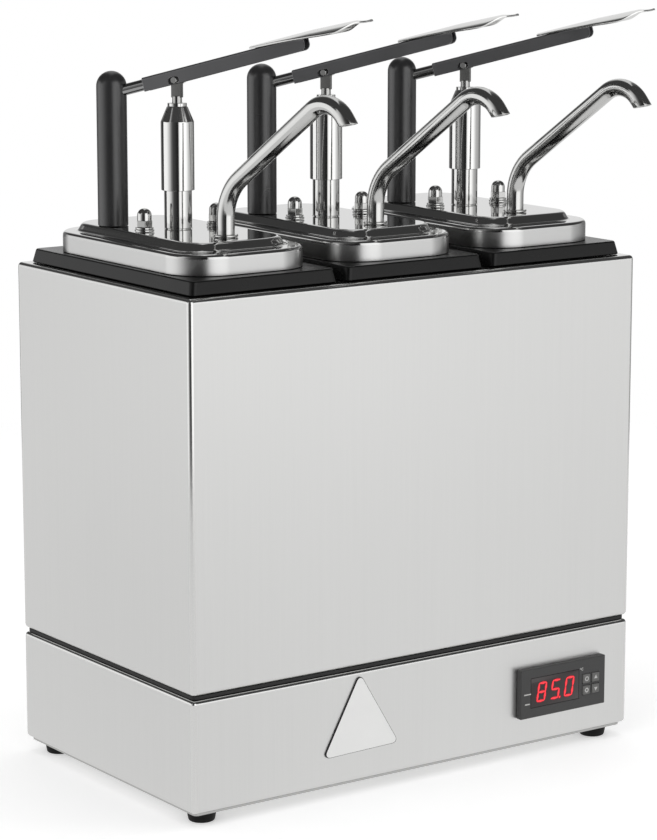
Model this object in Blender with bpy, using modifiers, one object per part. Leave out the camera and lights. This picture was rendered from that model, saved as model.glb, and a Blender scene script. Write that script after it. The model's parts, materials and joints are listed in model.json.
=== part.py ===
"""A countertop hot fudge topping warmer with three lever pumps.

Metres, +Z up, the front faces -Y. Sizes are first given from the left side of
the housing and from its front face. One empty then moves the whole appliance so
that the origin is on the table, under the middle of its outline.
"""

import math

import bmesh
import bpy
from mathutils import Matrix, Vector

MM = 0.001
FIT = 0.3 * MM  # clearance between pieces that touch
OVERRUN = 1.0 * MM  # how far a cutter runs past what it cuts
WELD = 0.00001  # merge distance for closed seams

# Housing
HOUSING_WIDTH = 365.0 * MM
HOUSING_DEPTH = 217.0 * MM
HOUSING_SHEET = 1.5 * MM
FOLD_RADIUS = 3.0 * MM
UPPER_HEIGHT = 256.0 * MM
BASE_HEIGHT = 75.7 * MM
SEAM_HEIGHT = 2.8 * MM
SEAM_RECESS = 2.0 * MM
SEAM_FLANGE = 12.0 * MM
BOTTOM_PLATE_THICKNESS = 1.7 * MM
BOTTOM_PLATE_INSET = 3.0 * MM
PLATE_SCREW_RADIUS = 3.0 * MM
PLATE_SCREW_HEIGHT = 1.2 * MM
PLATE_SCREW_INSET = 8.0 * MM

# Feet
FOOT_HEIGHT = 8.0 * MM
FOOT_TOP_RADIUS = 10.0 * MM
FOOT_SOLE_RADIUS = 8.6 * MM
FOOT_EDGE = 1.2 * MM
FOOT_INSET = 17.0 * MM

# Controller
CONTROLLER_LEFT = 264.8 * MM
CONTROLLER_WIDTH = 75.5 * MM
CONTROLLER_HEIGHT = 34.8 * MM
CONTROLLER_ABOVE_BASE = 19.5 * MM
BEZEL_THICKNESS = 5.0 * MM
BEZEL_ROUND = 1.2 * MM
CASE_MARGIN = 3.0 * MM
CASE_DEPTH = 55.0 * MM
WINDOW_LEFT = 8.7 * MM
WINDOW_WIDTH = 42.8 * MM
WINDOW_BOTTOM = 7.1 * MM
WINDOW_HEIGHT = 20.9 * MM
WINDOW_THICKNESS = 1.5 * MM
BUTTON_SIDE = 6.5 * MM
BUTTON_PITCH = 8.2 * MM
BUTTONS_CENTRE_LEFT = 62.3 * MM
BUTTONS_CENTRE_BOTTOM = 16.3 * MM
BUTTON_THICKNESS = 2.6 * MM
BUTTON_PROUD = 0.9 * MM
BUTTON_TRAVEL = 0.8 * MM
BUTTON_ROUND = 0.6 * MM

# Cable gland on the back
GLAND_FROM_RIGHT = 60.0 * MM
GLAND_ABOVE_BASE = 30.0 * MM
GLAND_FLANGE_RADIUS = 11.0 * MM
GLAND_FLANGE_THICKNESS = 5.0 * MM
GLAND_DOME_RADIUS = 8.5 * MM
GLAND_DOME_LENGTH = 11.0 * MM
GLAND_THREAD_RADIUS = 7.5 * MM
GLAND_THREAD_LENGTH = 9.0 * MM
GLAND_BORE_RADIUS = 4.0 * MM

# Tank and heater
TANK_WIDTH = 341.0 * MM
TANK_DEPTH = 184.0 * MM
TANK_HEIGHT = 196.0 * MM
TANK_SHEET = 1.2 * MM
TANK_FLANGE = 6.0 * MM
TANK_CORNER_RADIUS = 12.0 * MM
HEATER_THICKNESS = 5.0 * MM
HEATER_MARGIN = 20.0 * MM
DIVIDER_WIRE_HOLE_RADIUS = 8.0 * MM

# Stations: one pan, collar, lid and pump each
STATION_COUNT = 3
STATION_PITCH = 119.5 * MM
COLLAR_WIDTH = 113.0 * MM
COLLAR_DEPTH = 202.0 * MM
COLLAR_HEIGHT = 9.2 * MM
COLLAR_DRAFT = 2.0 * MM
COLLAR_CORNER_RADIUS = 4.0 * MM
COLLAR_OPENING_WIDTH = 87.0 * MM
COLLAR_OPENING_DEPTH = 167.0 * MM
COLLAR_LIP_DEPTH = 5.0 * MM
COLLAR_LIP_THICKNESS = 2.0 * MM
OPENING_CORNER_RADIUS = 22.0 * MM
PAN_FLANGE_WIDTH = 95.0 * MM
PAN_FLANGE_DEPTH = 175.0 * MM
PAN_FLANGE_THICKNESS = 1.2 * MM
PAN_SHEET = 1.0 * MM
PAN_DEPTH = 186.0 * MM
PAN_CLEARANCE = 0.8 * MM
PAN_TAPER = 3.0 * MM
PAN_FLOOR_ROUND = 8.0 * MM

# Lid
LID_WIDTH = 100.0 * MM
LID_DEPTH = 180.0 * MM
LID_CORNER_RADIUS = 30.0 * MM
LID_SKIRT_HEIGHT = 13.7 * MM
LID_SHEET = 1.5 * MM
LIP_ROUND = 2.6 * MM
DECK_RISE = 5.5 * MM
DECK_INSET_SIDE = 10.0 * MM
DECK_INSET_FRONT = 13.0 * MM
DECK_SLOPE = 2.6 * MM
DECK_CORNER_RADIUS = 22.0 * MM

# Pump
PUMP_BEHIND_MIDDLE = 2.5 * MM
TUBE_RADIUS = 9.2 * MM
TUBE_BORE_RADIUS = 7.5 * MM
TUBE_ABOVE_DECK = 44.5 * MM
CYLINDER_RADIUS = 18.0 * MM
CYLINDER_BORE_RADIUS = 16.0 * MM
CYLINDER_LENGTH = 92.0 * MM
PUMP_ABOVE_PAN_FLOOR = 26.2 * MM
CYLINDER_SHOULDER = 9.0 * MM
CYLINDER_FLOOR = 4.0 * MM
INLET_RADIUS = 5.0 * MM
CROSSBAR_LENGTH = 72.0 * MM
CROSSBAR_WIDTH = 16.0 * MM
CROSSBAR_THICKNESS = 3.0 * MM
STUD_SPACING = 56.0 * MM
STUD_FORWARD = 3.0 * MM
STUD_RADIUS = 2.5 * MM
STUD_ABOVE_DECK = 10.0 * MM
OUTLET_ARM_WIDTH = 20.0 * MM
OUTLET_ARM_HEIGHT = 16.0 * MM
OUTLET_PORT_RADIUS = 4.0 * MM
OUTLET_SOCKET_DEPTH = 9.0 * MM
OUTLET_ARM_END = 10.0 * MM

# Sleeve and plunger
SLEEVE_RADIUS = 11.05 * MM
SLEEVE_BORE_RADIUS = 9.6 * MM
SLEEVE_ABOVE_DECK = 25.5 * MM
SLEEVE_LENGTH = 45.0 * MM
SLEEVE_CONE_HEIGHT = 10.0 * MM
SLEEVE_CONE_TOP_RADIUS = 6.9 * MM
SLEEVE_NECK_RADIUS = 6.4 * MM
SLEEVE_NECK_HEIGHT = 2.2 * MM
SLEEVE_CROWN = 7.5 * MM
PLUNGER_ROD_RADIUS = 3.25 * MM
PISTON_RADIUS = 15.6 * MM
PISTON_HEIGHT = 8.0 * MM
PISTON_GAP = 3.0 * MM
TONGUE_WIDTH = 7.2 * MM
TONGUE_THICKNESS = 4.0 * MM
TONGUE_FOOT = 3.4 * MM
TONGUE_ROD_RUN = 1.2 * MM

# Lever, its post and its pins
LEVER_TURN = math.radians(36.0)  # from straight ahead, towards the right
LEVER_PITCH = math.radians(14.8)  # upwards, at rest
LEVER_SWING = math.radians(27.0)
POST_REACH = 46.5 * MM  # from the pump's axis back to the post's axis
POST_RADIUS = 10.1 * MM
PIVOT_ABOVE_DECK = 87.7 * MM
POST_DOME_ABOVE_PIVOT = 4.7 * MM
POST_SPIGOT_RADIUS = 4.0 * MM
POST_SPIGOT_LENGTH = 7.0 * MM
POST_SLOT_WIDTH = 8.4 * MM
POST_SLOT_ABOVE_PIVOT = 7.1 * MM
POST_SLOT_BELOW_PIVOT = 10.6 * MM
POST_SLOT_BACK = 6.6 * MM
PIVOT_PIN_RADIUS = 1.75 * MM
PIVOT_PIN_RECESS = 1.4 * MM
PIVOT_PIN_BLIND = 2.4 * MM
LEVER_BAR_RADIUS = 3.8 * MM
LEVER_BAR_TAIL = 5.0 * MM
CHANNEL_START = 25.3 * MM  # along the lever, from the pivot
CHANNEL_END = 141.2 * MM
CHANNEL_WIDTH = 11.0 * MM
CHANNEL_HEIGHT = 9.3 * MM
CHANNEL_SHEET = 1.5 * MM
CHANNEL_NOSE_RADIUS = 4.0 * MM
CHANNEL_PLUG_LENGTH = 8.0 * MM
CHANNEL_PLUG_SETBACK = 1.2 * MM
BOLT_BELOW_CHANNEL_AXIS = 2.1 * MM
BOLT_RADIUS = 2.0 * MM
BOLT_HEAD_RADIUS = 3.5 * MM
BOLT_HEAD_LENGTH = 4.0 * MM
BOLT_END_RUN = 1.0 * MM
BOLT_SOCKET_RADIUS = 1.75 * MM
BOLT_SOCKET_DEPTH = 2.0 * MM

# Thumb pad
PAD_START = 104.0 * MM  # along the lever, from the pivot
PAD_LENGTH = 83.0 * MM
PAD_HALF_WIDTH = 14.0 * MM
PAD_THICKNESS = 1.2 * MM
PAD_DROOP = 4.6 * MM
PAD_DIP = 1.2 * MM
PAD_TIP_FALL = 2.9 * MM
PAD_LENGTH_SHARES = (0.0, 0.1, 0.24, 0.38, 0.53, 0.65, 0.75, 0.82, 0.89, 0.95, 1.0)
PAD_WIDTH_SHARES = (0.43, 0.51, 0.64, 0.77, 0.89, 0.96, 1.0, 0.96, 0.8, 0.56, 0.28)
PAD_COLUMN_SHARES = (-1.0, -0.55, 0.0, 0.55, 1.0)
PAD_FLAT_SHARE = 0.53
PAD_TIP_SHARE = 0.82

# Spout
SPOUT_BEFORE_MIDDLE = 54.5 * MM
SPOUT_TURN = math.radians(10.0)
SPOUT_RADIUS = 5.85 * MM
SPOUT_BORE_RADIUS = 4.85 * MM
SPOUT_BEND_ABOVE_DECK = 16.0 * MM
SPOUT_LOWER_BEND_RADIUS = 25.0 * MM
SPOUT_RISE = math.radians(36.0)
SPOUT_ARM_LENGTH = 86.0 * MM
SPOUT_UPPER_BEND_RADIUS = 20.0 * MM
SPOUT_FALL = math.radians(52.0)
SPOUT_END_LENGTH = 5.0 * MM
SPOUT_MOUTH_TILT = math.radians(15.0)
SPOUT_FERRULE_RADIUS = 8.0 * MM
SPOUT_FERRULE_HEIGHT = 1.6 * MM

# Cap nuts
NUT_WASHER_RADIUS = 6.45 * MM
NUT_WASHER_HEIGHT = 3.0 * MM
NUT_HEX_RADIUS = 5.75 * MM
NUT_HEX_HEIGHT = 4.3 * MM
NUT_DOME_RADIUS = 4.8 * MM
NUT_DOME_HEIGHT = 7.9 * MM
NUT_BORE_DEPTH = 11.5 * MM

# Facets
ROUND_SIDES = 20
TURNED_SIDES = 16
SMALL_SIDES = 12
NUT_SIDES = 10
STUD_SIDES = 8
TUBE_SIDES = 12
CORNER_STEPS = 3
LID_CORNER_STEPS = 4
DOME_STEPS = 4
HEX_SIDES = 6
SMOOTH_ANGLE = math.radians(32.0)

# Heights and places worked out from the sizes above
BASE_BOTTOM = FOOT_HEIGHT + BOTTOM_PLATE_THICKNESS + FIT
BASE_TOP = BASE_BOTTOM + BASE_HEIGHT
UPPER_BOTTOM = BASE_TOP + SEAM_HEIGHT
UPPER_TOP = UPPER_BOTTOM + UPPER_HEIGHT
MIDDLE_X = HOUSING_WIDTH / 2
MIDDLE_Y = HOUSING_DEPTH / 2
PUMP_Y = MIDDLE_Y + PUMP_BEHIND_MIDDLE
SPOUT_Y = MIDDLE_Y - SPOUT_BEFORE_MIDDLE
COLLAR_BOTTOM = UPPER_TOP + FIT
COLLAR_TOP = COLLAR_BOTTOM + COLLAR_HEIGHT
LID_BOTTOM = COLLAR_TOP + FIT
LID_LEDGE = LID_BOTTOM + LID_SKIRT_HEIGHT
DECK = LID_LEDGE + DECK_RISE
DECK_UNDERSIDE = DECK - LID_SHEET
PIVOT_HEIGHT = DECK + PIVOT_ABOVE_DECK
SLEEVE_BOTTOM = DECK + SLEEVE_ABOVE_DECK
SLEEVE_SHOULDER = SLEEVE_BOTTOM + SLEEVE_LENGTH
SLEEVE_TOP = SLEEVE_SHOULDER + SLEEVE_CONE_HEIGHT + SLEEVE_NECK_HEIGHT
PAN_BOTTOM = LID_BOTTOM - PAN_DEPTH
CYLINDER_BOTTOM = PAN_BOTTOM + PAN_SHEET + PUMP_ABOVE_PAN_FLOOR
TANK_TOP = UPPER_TOP - HOUSING_SHEET - FIT
TANK_BOTTOM = TANK_TOP - TANK_HEIGHT
CONTROLLER_BOTTOM = BASE_BOTTOM + CONTROLLER_ABOVE_BASE
OUTLET_ARM_BOTTOM = CYLINDER_BOTTOM + CYLINDER_FLOOR
OUTLET_ARM_TOP = OUTLET_ARM_BOTTOM + OUTLET_ARM_HEIGHT
SPOUT_FOOT = OUTLET_ARM_TOP - OUTLET_SOCKET_DEPTH + FIT
STATION_X = [MIDDLE_X + (i - (STATION_COUNT - 1) / 2) * STATION_PITCH for i in range(STATION_COUNT)]

# The bolt lies on the pump's axis, below the lever's own axis
BOLT_HEIGHT = (
    PIVOT_HEIGHT
    + POST_REACH * math.tan(LEVER_PITCH)
    - BOLT_BELOW_CHANNEL_AXIS / math.cos(LEVER_PITCH)
)

# The lines that the levers and the spouts follow, seen from above
LEVER_AHEAD = Vector((math.sin(LEVER_TURN), -math.cos(LEVER_TURN), 0))
SPOUT_AHEAD = Vector((math.sin(SPOUT_TURN), -math.cos(SPOUT_TURN), 0))


def clear_scene():
    for old in list(bpy.data.objects):
        bpy.data.objects.remove(old, do_unlink=True)


def new_collection(name):
    made = bpy.data.collections.new(name)
    bpy.context.scene.collection.children.link(made)
    return made


def finish(name, colour, roughness, metallic):
    made = bpy.data.materials.new(name)
    made.use_nodes = True
    shader = made.node_tree.nodes["Principled BSDF"]
    shader.inputs["Base Color"].default_value = (*colour, 1)
    shader.inputs["Roughness"].default_value = roughness
    shader.inputs["Metallic"].default_value = metallic
    return made


def empty(name, place, home=None, turn=(0, 0, 0)):
    made = bpy.data.objects.new(name, None)
    made.location = place
    made.rotation_euler = turn
    made.parent = home
    parts.objects.link(made)
    return made


def from_bmesh(name, shape, home, material=None, place=(0, 0, 0), turn=(0, 0, 0)):
    """Make an object. One without a material is a cutter or a piece to be joined."""
    mesh = bpy.data.meshes.new(name)
    shape.to_mesh(mesh)
    shape.free()
    mesh.shade_smooth()
    mesh.set_sharp_from_angle(angle=SMOOTH_ANGLE)
    made = bpy.data.objects.new(name, mesh)
    made.location = place
    made.rotation_euler = turn
    made.parent = home
    if material:
        mesh.materials.append(material)
        parts.objects.link(made)
    else:
        made.hide_render = True
        made.display_type = "WIRE"
        cutters.objects.link(made)
    return made


def box(name, low, high, home, material=None, place=(0, 0, 0), turn=(0, 0, 0)):
    low, high = Vector(low), Vector(high)
    shape = bmesh.new()
    bmesh.ops.create_cube(shape, size=1, matrix=Matrix.Translation((low + high) / 2))
    middle = (low + high) / 2
    bmesh.ops.scale(shape, vec=high - low, verts=shape.verts, space=Matrix.Translation(-middle))
    return from_bmesh(name, shape, home, material, place, turn)


def rod(name, radius, low, high, home, material=None, place=(0, 0, 0), turn=(0, 0, 0), sides=SMALL_SIDES):
    """A cylinder along its own Z, from low to high."""
    shape = bmesh.new()
    bmesh.ops.create_cone(
        shape,
        cap_ends=True,
        segments=sides,
        radius1=radius,
        radius2=radius,
        depth=high - low,
        matrix=Matrix.Translation((0, 0, (low + high) / 2)),
    )
    return from_bmesh(name, shape, home, material, place, turn)


def turned(
    name, profile, home, material=None, place=(0, 0, 0), turn=(0, 0, 0), sides=ROUND_SIDES, ring=False
):
    """Turn a profile of (radius, height) points, top to bottom on its outer side."""
    mesh = bpy.data.meshes.new(name)
    edges = [(i, i + 1) for i in range(len(profile) - 1)]
    if ring:
        edges.append((len(profile) - 1, 0))
    mesh.from_pydata([(radius, 0, height) for radius, height in profile], edges, [])
    made = bpy.data.objects.new(name, mesh)
    made.location = place
    made.rotation_euler = turn
    made.parent = home
    screw = made.modifiers.new("Turn", "SCREW")
    screw.axis = "Z"
    screw.angle = math.tau
    screw.steps = sides
    screw.render_steps = sides
    screw.use_merge_vertices = True
    screw.merge_threshold = WELD
    if material:
        mesh.materials.append(material)
        parts.objects.link(made)
    else:
        made.hide_render = True
        made.display_type = "WIRE"
        cutters.objects.link(made)
    return made


def slab(name, outline, low, high, home, material=None, place=(0, 0, 0), turn=(0, 0, 0)):
    """A flat outline in XZ, extruded along Y from low to high."""
    shape = bmesh.new()
    face = shape.faces.new([shape.verts.new((x, low, z)) for x, z in outline])
    grown = bmesh.ops.extrude_face_region(shape, geom=[face])
    tops = [v for v in grown["geom"] if isinstance(v, bmesh.types.BMVert)]
    bmesh.ops.translate(shape, vec=(0, high - low, 0), verts=tops)
    bmesh.ops.recalc_face_normals(shape, faces=shape.faces)
    return from_bmesh(name, shape, home, material, place, turn)


def arc(centre, radius, start, end, steps):
    """Points on an arc, with both ends."""
    angles = [start + (end - start) * i / steps for i in range(steps + 1)]
    return [(centre[0] + radius * math.cos(a), centre[1] + radius * math.sin(a)) for a in angles]


def rounded_rectangle(low, high, radius, steps=CORNER_STEPS):
    """Corner arcs of a rectangle from low to high, anticlockwise."""
    quarter = math.pi / 2
    centres = [
        (high[0] - radius, high[1] - radius),
        (low[0] + radius, high[1] - radius),
        (low[0] + radius, low[1] + radius),
        (high[0] - radius, low[1] + radius),
    ]
    points = []
    for i, centre in enumerate(centres):
        points += arc(centre, radius, i * quarter, (i + 1) * quarter, steps)
    return points


def centred(width, depth, radius, steps=CORNER_STEPS):
    """A rounded rectangle about a station's middle line."""
    low = (-width / 2, MIDDLE_Y - depth / 2)
    high = (width / 2, MIDDLE_Y + depth / 2)
    return rounded_rectangle(low, high, radius, steps)


def lofted(name, rings, home, material=None, place=(0, 0, 0), closed=False):
    """Bridge rings of (outline, height) in turn, and cap or close the two ends."""
    shape = bmesh.new()
    loops = [[shape.verts.new((x, y, height)) for x, y in outline] for outline, height in rings]
    pairs = list(zip(loops, loops[1:]))
    if closed:
        pairs.append((loops[-1], loops[0]))
    else:
        shape.faces.new(loops[0])
        shape.faces.new(loops[-1])
    for below, above in pairs:
        for i in range(len(below)):
            shape.faces.new((below[i - 1], below[i], above[i], above[i - 1]))
    bmesh.ops.recalc_face_normals(shape, faces=shape.faces)
    return from_bmesh(name, shape, home, material, place)


def boolean(target, tool, operation):
    step = target.modifiers.new(tool.name, "BOOLEAN")
    step.operation = operation
    step.solver = "EXACT"
    step.object = tool


def cut(target, tool):
    boolean(target, tool, "DIFFERENCE")


def join(target, tool):
    boolean(target, tool, "UNION")


def bevel(target, width, segments=2):
    step = target.modifiers.new("Round", "BEVEL")
    step.width = width
    step.segments = segments
    step.limit_method = "ANGLE"


def hollow(target, thickness):
    step = target.modifiers.new("Sheet", "SOLIDIFY")
    step.thickness = thickness
    step.offset = -1
    step.use_even_offset = True


def sheet_box(name, bottom, top, home):
    """A closed folded box of the housing's outline, hollow inside."""
    made = box(name, (0, 0, bottom), (HOUSING_WIDTH, HOUSING_DEPTH, top), home, brushed_steel)
    bevel(made, FOLD_RADIUS)
    hollow(made, HOUSING_SHEET)
    return made


def housing_hole(name, margin, bottom, top, home):
    low = (margin, margin, bottom)
    high = (HOUSING_WIDTH - margin, HOUSING_DEPTH - margin, top)
    return box(name, low, high, home)


def housing_upper(home):
    shell = sheet_box("housing_upper", UPPER_BOTTOM, UPPER_TOP, home)
    floor = UPPER_BOTTOM + HOUSING_SHEET
    cut(shell, housing_hole("upper_floor_hole", SEAM_FLANGE, UPPER_BOTTOM - OVERRUN, floor + OVERRUN, home))
    lip = COLLAR_LIP_THICKNESS + FIT
    width = COLLAR_OPENING_WIDTH + 2 * lip
    depth = COLLAR_OPENING_DEPTH + 2 * lip
    outline = centred(width, depth, OPENING_CORNER_RADIUS + lip)
    ceiling = UPPER_TOP - HOUSING_SHEET
    for number, x in enumerate(STATION_X, 1):
        rings = [(outline, ceiling - OVERRUN), (outline, UPPER_TOP + OVERRUN)]
        cut(shell, lofted(f"pan_hole_{number}", rings, home, place=(x, 0, 0)))


def housing_base(home):
    shell = sheet_box("housing_base", BASE_BOTTOM, BASE_TOP, home)
    cut(shell, housing_hole("base_hole", SEAM_FLANGE, BASE_BOTTOM - OVERRUN, BASE_TOP + OVERRUN, home))
    low = (CONTROLLER_LEFT + CASE_MARGIN - FIT, -OVERRUN, CONTROLLER_BOTTOM + CASE_MARGIN - FIT)
    high = (
        CONTROLLER_LEFT + CONTROLLER_WIDTH - CASE_MARGIN + FIT,
        HOUSING_SHEET + OVERRUN,
        CONTROLLER_BOTTOM + CONTROLLER_HEIGHT - CASE_MARGIN + FIT,
    )
    cut(shell, box("controller_hole", low, high, home))
    back = HOUSING_DEPTH - HOUSING_SHEET - OVERRUN
    gland = rod(
        "gland_hole",
        GLAND_THREAD_RADIUS + FIT,
        0,
        HOUSING_SHEET + 2 * OVERRUN,
        home,
        place=(HOUSING_WIDTH - GLAND_FROM_RIGHT, back, BASE_BOTTOM + GLAND_ABOVE_BASE),
        turn=(-math.pi / 2, 0, 0),
    )
    cut(shell, gland)


def divider(home):
    low = (SEAM_RECESS, SEAM_RECESS, BASE_TOP + FIT)
    high = (HOUSING_WIDTH - SEAM_RECESS, HOUSING_DEPTH - SEAM_RECESS, UPPER_BOTTOM - FIT)
    plate = box("divider", low, high, home, black_plastic)
    place = (MIDDLE_X, MIDDLE_Y, 0)
    bottom, top = BASE_TOP - OVERRUN, UPPER_BOTTOM + OVERRUN
    cut(plate, rod("wire_hole", DIVIDER_WIRE_HOLE_RADIUS, bottom, top, home, place=place))


def bottom_plate(home):
    low = (BOTTOM_PLATE_INSET, BOTTOM_PLATE_INSET, FOOT_HEIGHT)
    high = (HOUSING_WIDTH - BOTTOM_PLATE_INSET, HOUSING_DEPTH - BOTTOM_PLATE_INSET, BASE_BOTTOM - FIT)
    plate = box("bottom_plate", low, high, home, brushed_steel)
    inset = BOTTOM_PLATE_INSET + PLATE_SCREW_INSET
    for number, (x, y) in enumerate(
        [
            (MIDDLE_X, inset),
            (MIDDLE_X, HOUSING_DEPTH - inset),
            (inset, MIDDLE_Y),
            (HOUSING_WIDTH - inset, MIDDLE_Y),
        ],
        1,
    ):
        head = rod(
            f"plate_screw_{number}",
            PLATE_SCREW_RADIUS,
            FOOT_HEIGHT - PLATE_SCREW_HEIGHT,
            FOOT_HEIGHT + BOTTOM_PLATE_THICKNESS / 2,
            home,
            place=(x, y, 0),
            sides=STUD_SIDES,
        )
        join(plate, head)


def feet(home):
    top = FOOT_HEIGHT - FIT
    profile = [
        (0, top),
        (FOOT_TOP_RADIUS, top),
        (FOOT_SOLE_RADIUS, FOOT_EDGE),
        (FOOT_SOLE_RADIUS - FOOT_EDGE, 0),
        (0, 0),
    ]
    across = {"left": FOOT_INSET, "right": HOUSING_WIDTH - FOOT_INSET}
    along = {"front": FOOT_INSET, "rear": HOUSING_DEPTH - FOOT_INSET}
    for end, y in along.items():
        for side, x in across.items():
            turned(f"foot_{end}_{side}", profile, home, rubber, place=(x, y, 0), sides=SMALL_SIDES)


def tank(home):
    steps = CORNER_STEPS
    inside = TANK_CORNER_RADIUS - TANK_SHEET
    flange = centred(TANK_WIDTH + 2 * TANK_FLANGE, TANK_DEPTH + 2 * TANK_FLANGE, TANK_CORNER_RADIUS, steps)
    outer = centred(TANK_WIDTH, TANK_DEPTH, TANK_CORNER_RADIUS, steps)
    inner = centred(TANK_WIDTH - 2 * TANK_SHEET, TANK_DEPTH - 2 * TANK_SHEET, inside, steps)
    rings = [
        (outer, TANK_BOTTOM),
        (outer, TANK_TOP - TANK_SHEET),
        (flange, TANK_TOP - TANK_SHEET),
        (flange, TANK_TOP),
        (inner, TANK_TOP),
        (inner, TANK_BOTTOM + TANK_SHEET),
    ]
    lofted("tank", rings, home, plain_steel, place=(MIDDLE_X, 0, 0))


def heater(home):
    width = TANK_WIDTH - 2 * HEATER_MARGIN
    depth = TANK_DEPTH - 2 * HEATER_MARGIN
    top = TANK_BOTTOM - FIT
    low = (MIDDLE_X - width / 2, MIDDLE_Y - depth / 2, top - HEATER_THICKNESS)
    high = (MIDDLE_X + width / 2, MIDDLE_Y + depth / 2, top)
    box("heater", low, high, home, plain_steel)


def button_places():
    """Middles of the four buttons in X and Z, row by row from the top left."""
    x = CONTROLLER_LEFT + BUTTONS_CENTRE_LEFT
    z = CONTROLLER_BOTTOM + BUTTONS_CENTRE_BOTTOM
    half = BUTTON_PITCH / 2
    return [(x - half, z + half), (x + half, z + half), (x - half, z - half), (x + half, z - half)]


def controller(home):
    face = -FIT - BEZEL_THICKNESS
    low = (CONTROLLER_LEFT, face, CONTROLLER_BOTTOM)
    high = (CONTROLLER_LEFT + CONTROLLER_WIDTH, -FIT, CONTROLLER_BOTTOM + CONTROLLER_HEIGHT)
    case = box("controller_case", low, high, home, black_plastic)
    bevel(case, BEZEL_ROUND)
    body_low = (low[0] + CASE_MARGIN, -FIT - BEZEL_ROUND, low[2] + CASE_MARGIN)
    body_high = (high[0] - CASE_MARGIN, CASE_DEPTH, high[2] - CASE_MARGIN)
    join(case, box("controller_body", body_low, body_high, home))

    left = CONTROLLER_LEFT + WINDOW_LEFT
    bottom = CONTROLLER_BOTTOM + WINDOW_BOTTOM
    window_low = (left, face, bottom)
    window_high = (left + WINDOW_WIDTH, face + WINDOW_THICKNESS, bottom + WINDOW_HEIGHT)
    box("display_window", window_low, window_high, home, display_black)
    pocket_low = (left - FIT, face - OVERRUN, bottom - FIT)
    pocket_high = (window_high[0] + FIT, window_high[1] + FIT, window_high[2] + FIT)
    cut(case, box("window_pocket", pocket_low, pocket_high, home))

    half = BUTTON_SIDE / 2
    well_depth = BUTTON_THICKNESS - BUTTON_PROUD + BUTTON_TRAVEL + FIT
    for number, (x, z) in enumerate(button_places(), 1):
        pivot = empty(f"button_{number}_travel", (x, face, z), home)
        cap_low = (-half, -BUTTON_PROUD, -half)
        cap_high = (half, BUTTON_THICKNESS - BUTTON_PROUD, half)
        cap = box(f"button_{number}", cap_low, cap_high, pivot, button_grey)
        bevel(cap, BUTTON_ROUND, 1)
        well_low = (x - half - FIT, face - OVERRUN, z - half - FIT)
        well_high = (x + half + FIT, face + well_depth, z + half + FIT)
        cut(case, box(f"button_well_{number}", well_low, well_high, home))


def cable_gland(home):
    """Turned about its own Z, which points out of the back wall."""
    outer = GLAND_FLANGE_THICKNESS + GLAND_DOME_LENGTH
    profile = [
        (GLAND_BORE_RADIUS, outer),
        (GLAND_BORE_RADIUS + GLAND_BORE_RADIUS / 2, outer),
        (GLAND_DOME_RADIUS, outer - GLAND_DOME_LENGTH / 3),
        (GLAND_DOME_RADIUS, GLAND_FLANGE_THICKNESS),
        (GLAND_FLANGE_RADIUS, GLAND_FLANGE_THICKNESS),
        (GLAND_FLANGE_RADIUS, FIT),
        (GLAND_THREAD_RADIUS, FIT),
        (GLAND_THREAD_RADIUS, -GLAND_THREAD_LENGTH),
        (GLAND_BORE_RADIUS, -GLAND_THREAD_LENGTH),
    ]
    place = (HOUSING_WIDTH - GLAND_FROM_RIGHT, HOUSING_DEPTH, BASE_BOTTOM + GLAND_ABOVE_BASE)
    turned("cable_gland", profile, home, black_plastic, place, (-math.pi / 2, 0, 0), SMALL_SIDES, ring=True)


def collar(tag, home):
    bottom = centred(COLLAR_WIDTH, COLLAR_DEPTH, COLLAR_CORNER_RADIUS)
    top = centred(COLLAR_WIDTH - 2 * COLLAR_DRAFT, COLLAR_DEPTH - 2 * COLLAR_DRAFT, COLLAR_CORNER_RADIUS)
    opening = centred(COLLAR_OPENING_WIDTH, COLLAR_OPENING_DEPTH, OPENING_CORNER_RADIUS)
    lip_width = COLLAR_OPENING_WIDTH + 2 * COLLAR_LIP_THICKNESS
    lip_depth = COLLAR_OPENING_DEPTH + 2 * COLLAR_LIP_THICKNESS
    lip = centred(lip_width, lip_depth, OPENING_CORNER_RADIUS + COLLAR_LIP_THICKNESS)
    rings = [
        (bottom, COLLAR_BOTTOM),
        (top, COLLAR_TOP),
        (opening, COLLAR_TOP),
        (opening, COLLAR_BOTTOM - COLLAR_LIP_DEPTH),
        (lip, COLLAR_BOTTOM - COLLAR_LIP_DEPTH),
        (lip, COLLAR_BOTTOM),
    ]
    lofted(f"collar_{tag}", rings, home, black_plastic, closed=True)


def pan(tag, home):
    width = COLLAR_OPENING_WIDTH - 2 * PAN_CLEARANCE
    depth = COLLAR_OPENING_DEPTH - 2 * PAN_CLEARANCE
    radius = OPENING_CORNER_RADIUS - PAN_CLEARANCE

    def wall(inset):
        return centred(width - 2 * inset, depth - 2 * inset, radius - inset)

    flange_radius = LID_CORNER_RADIUS - (LID_WIDTH - PAN_FLANGE_WIDTH) / 2
    flange = centred(PAN_FLANGE_WIDTH, PAN_FLANGE_DEPTH, flange_radius)
    top = LID_BOTTOM + PAN_FLANGE_THICKNESS
    rings = [
        (wall(PAN_TAPER + PAN_FLOOR_ROUND), PAN_BOTTOM),
        (wall(PAN_TAPER), PAN_BOTTOM + PAN_FLOOR_ROUND),
        (wall(0), LID_BOTTOM),
        (flange, LID_BOTTOM),
        (flange, top),
        (wall(PAN_SHEET), top),
        (wall(PAN_TAPER + PAN_SHEET), PAN_BOTTOM + PAN_FLOOR_ROUND + PAN_SHEET / 2),
        (wall(PAN_TAPER + PAN_FLOOR_ROUND), PAN_BOTTOM + PAN_SHEET),
    ]
    lofted(f"pan_{tag}", rings, home, plain_steel)


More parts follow.
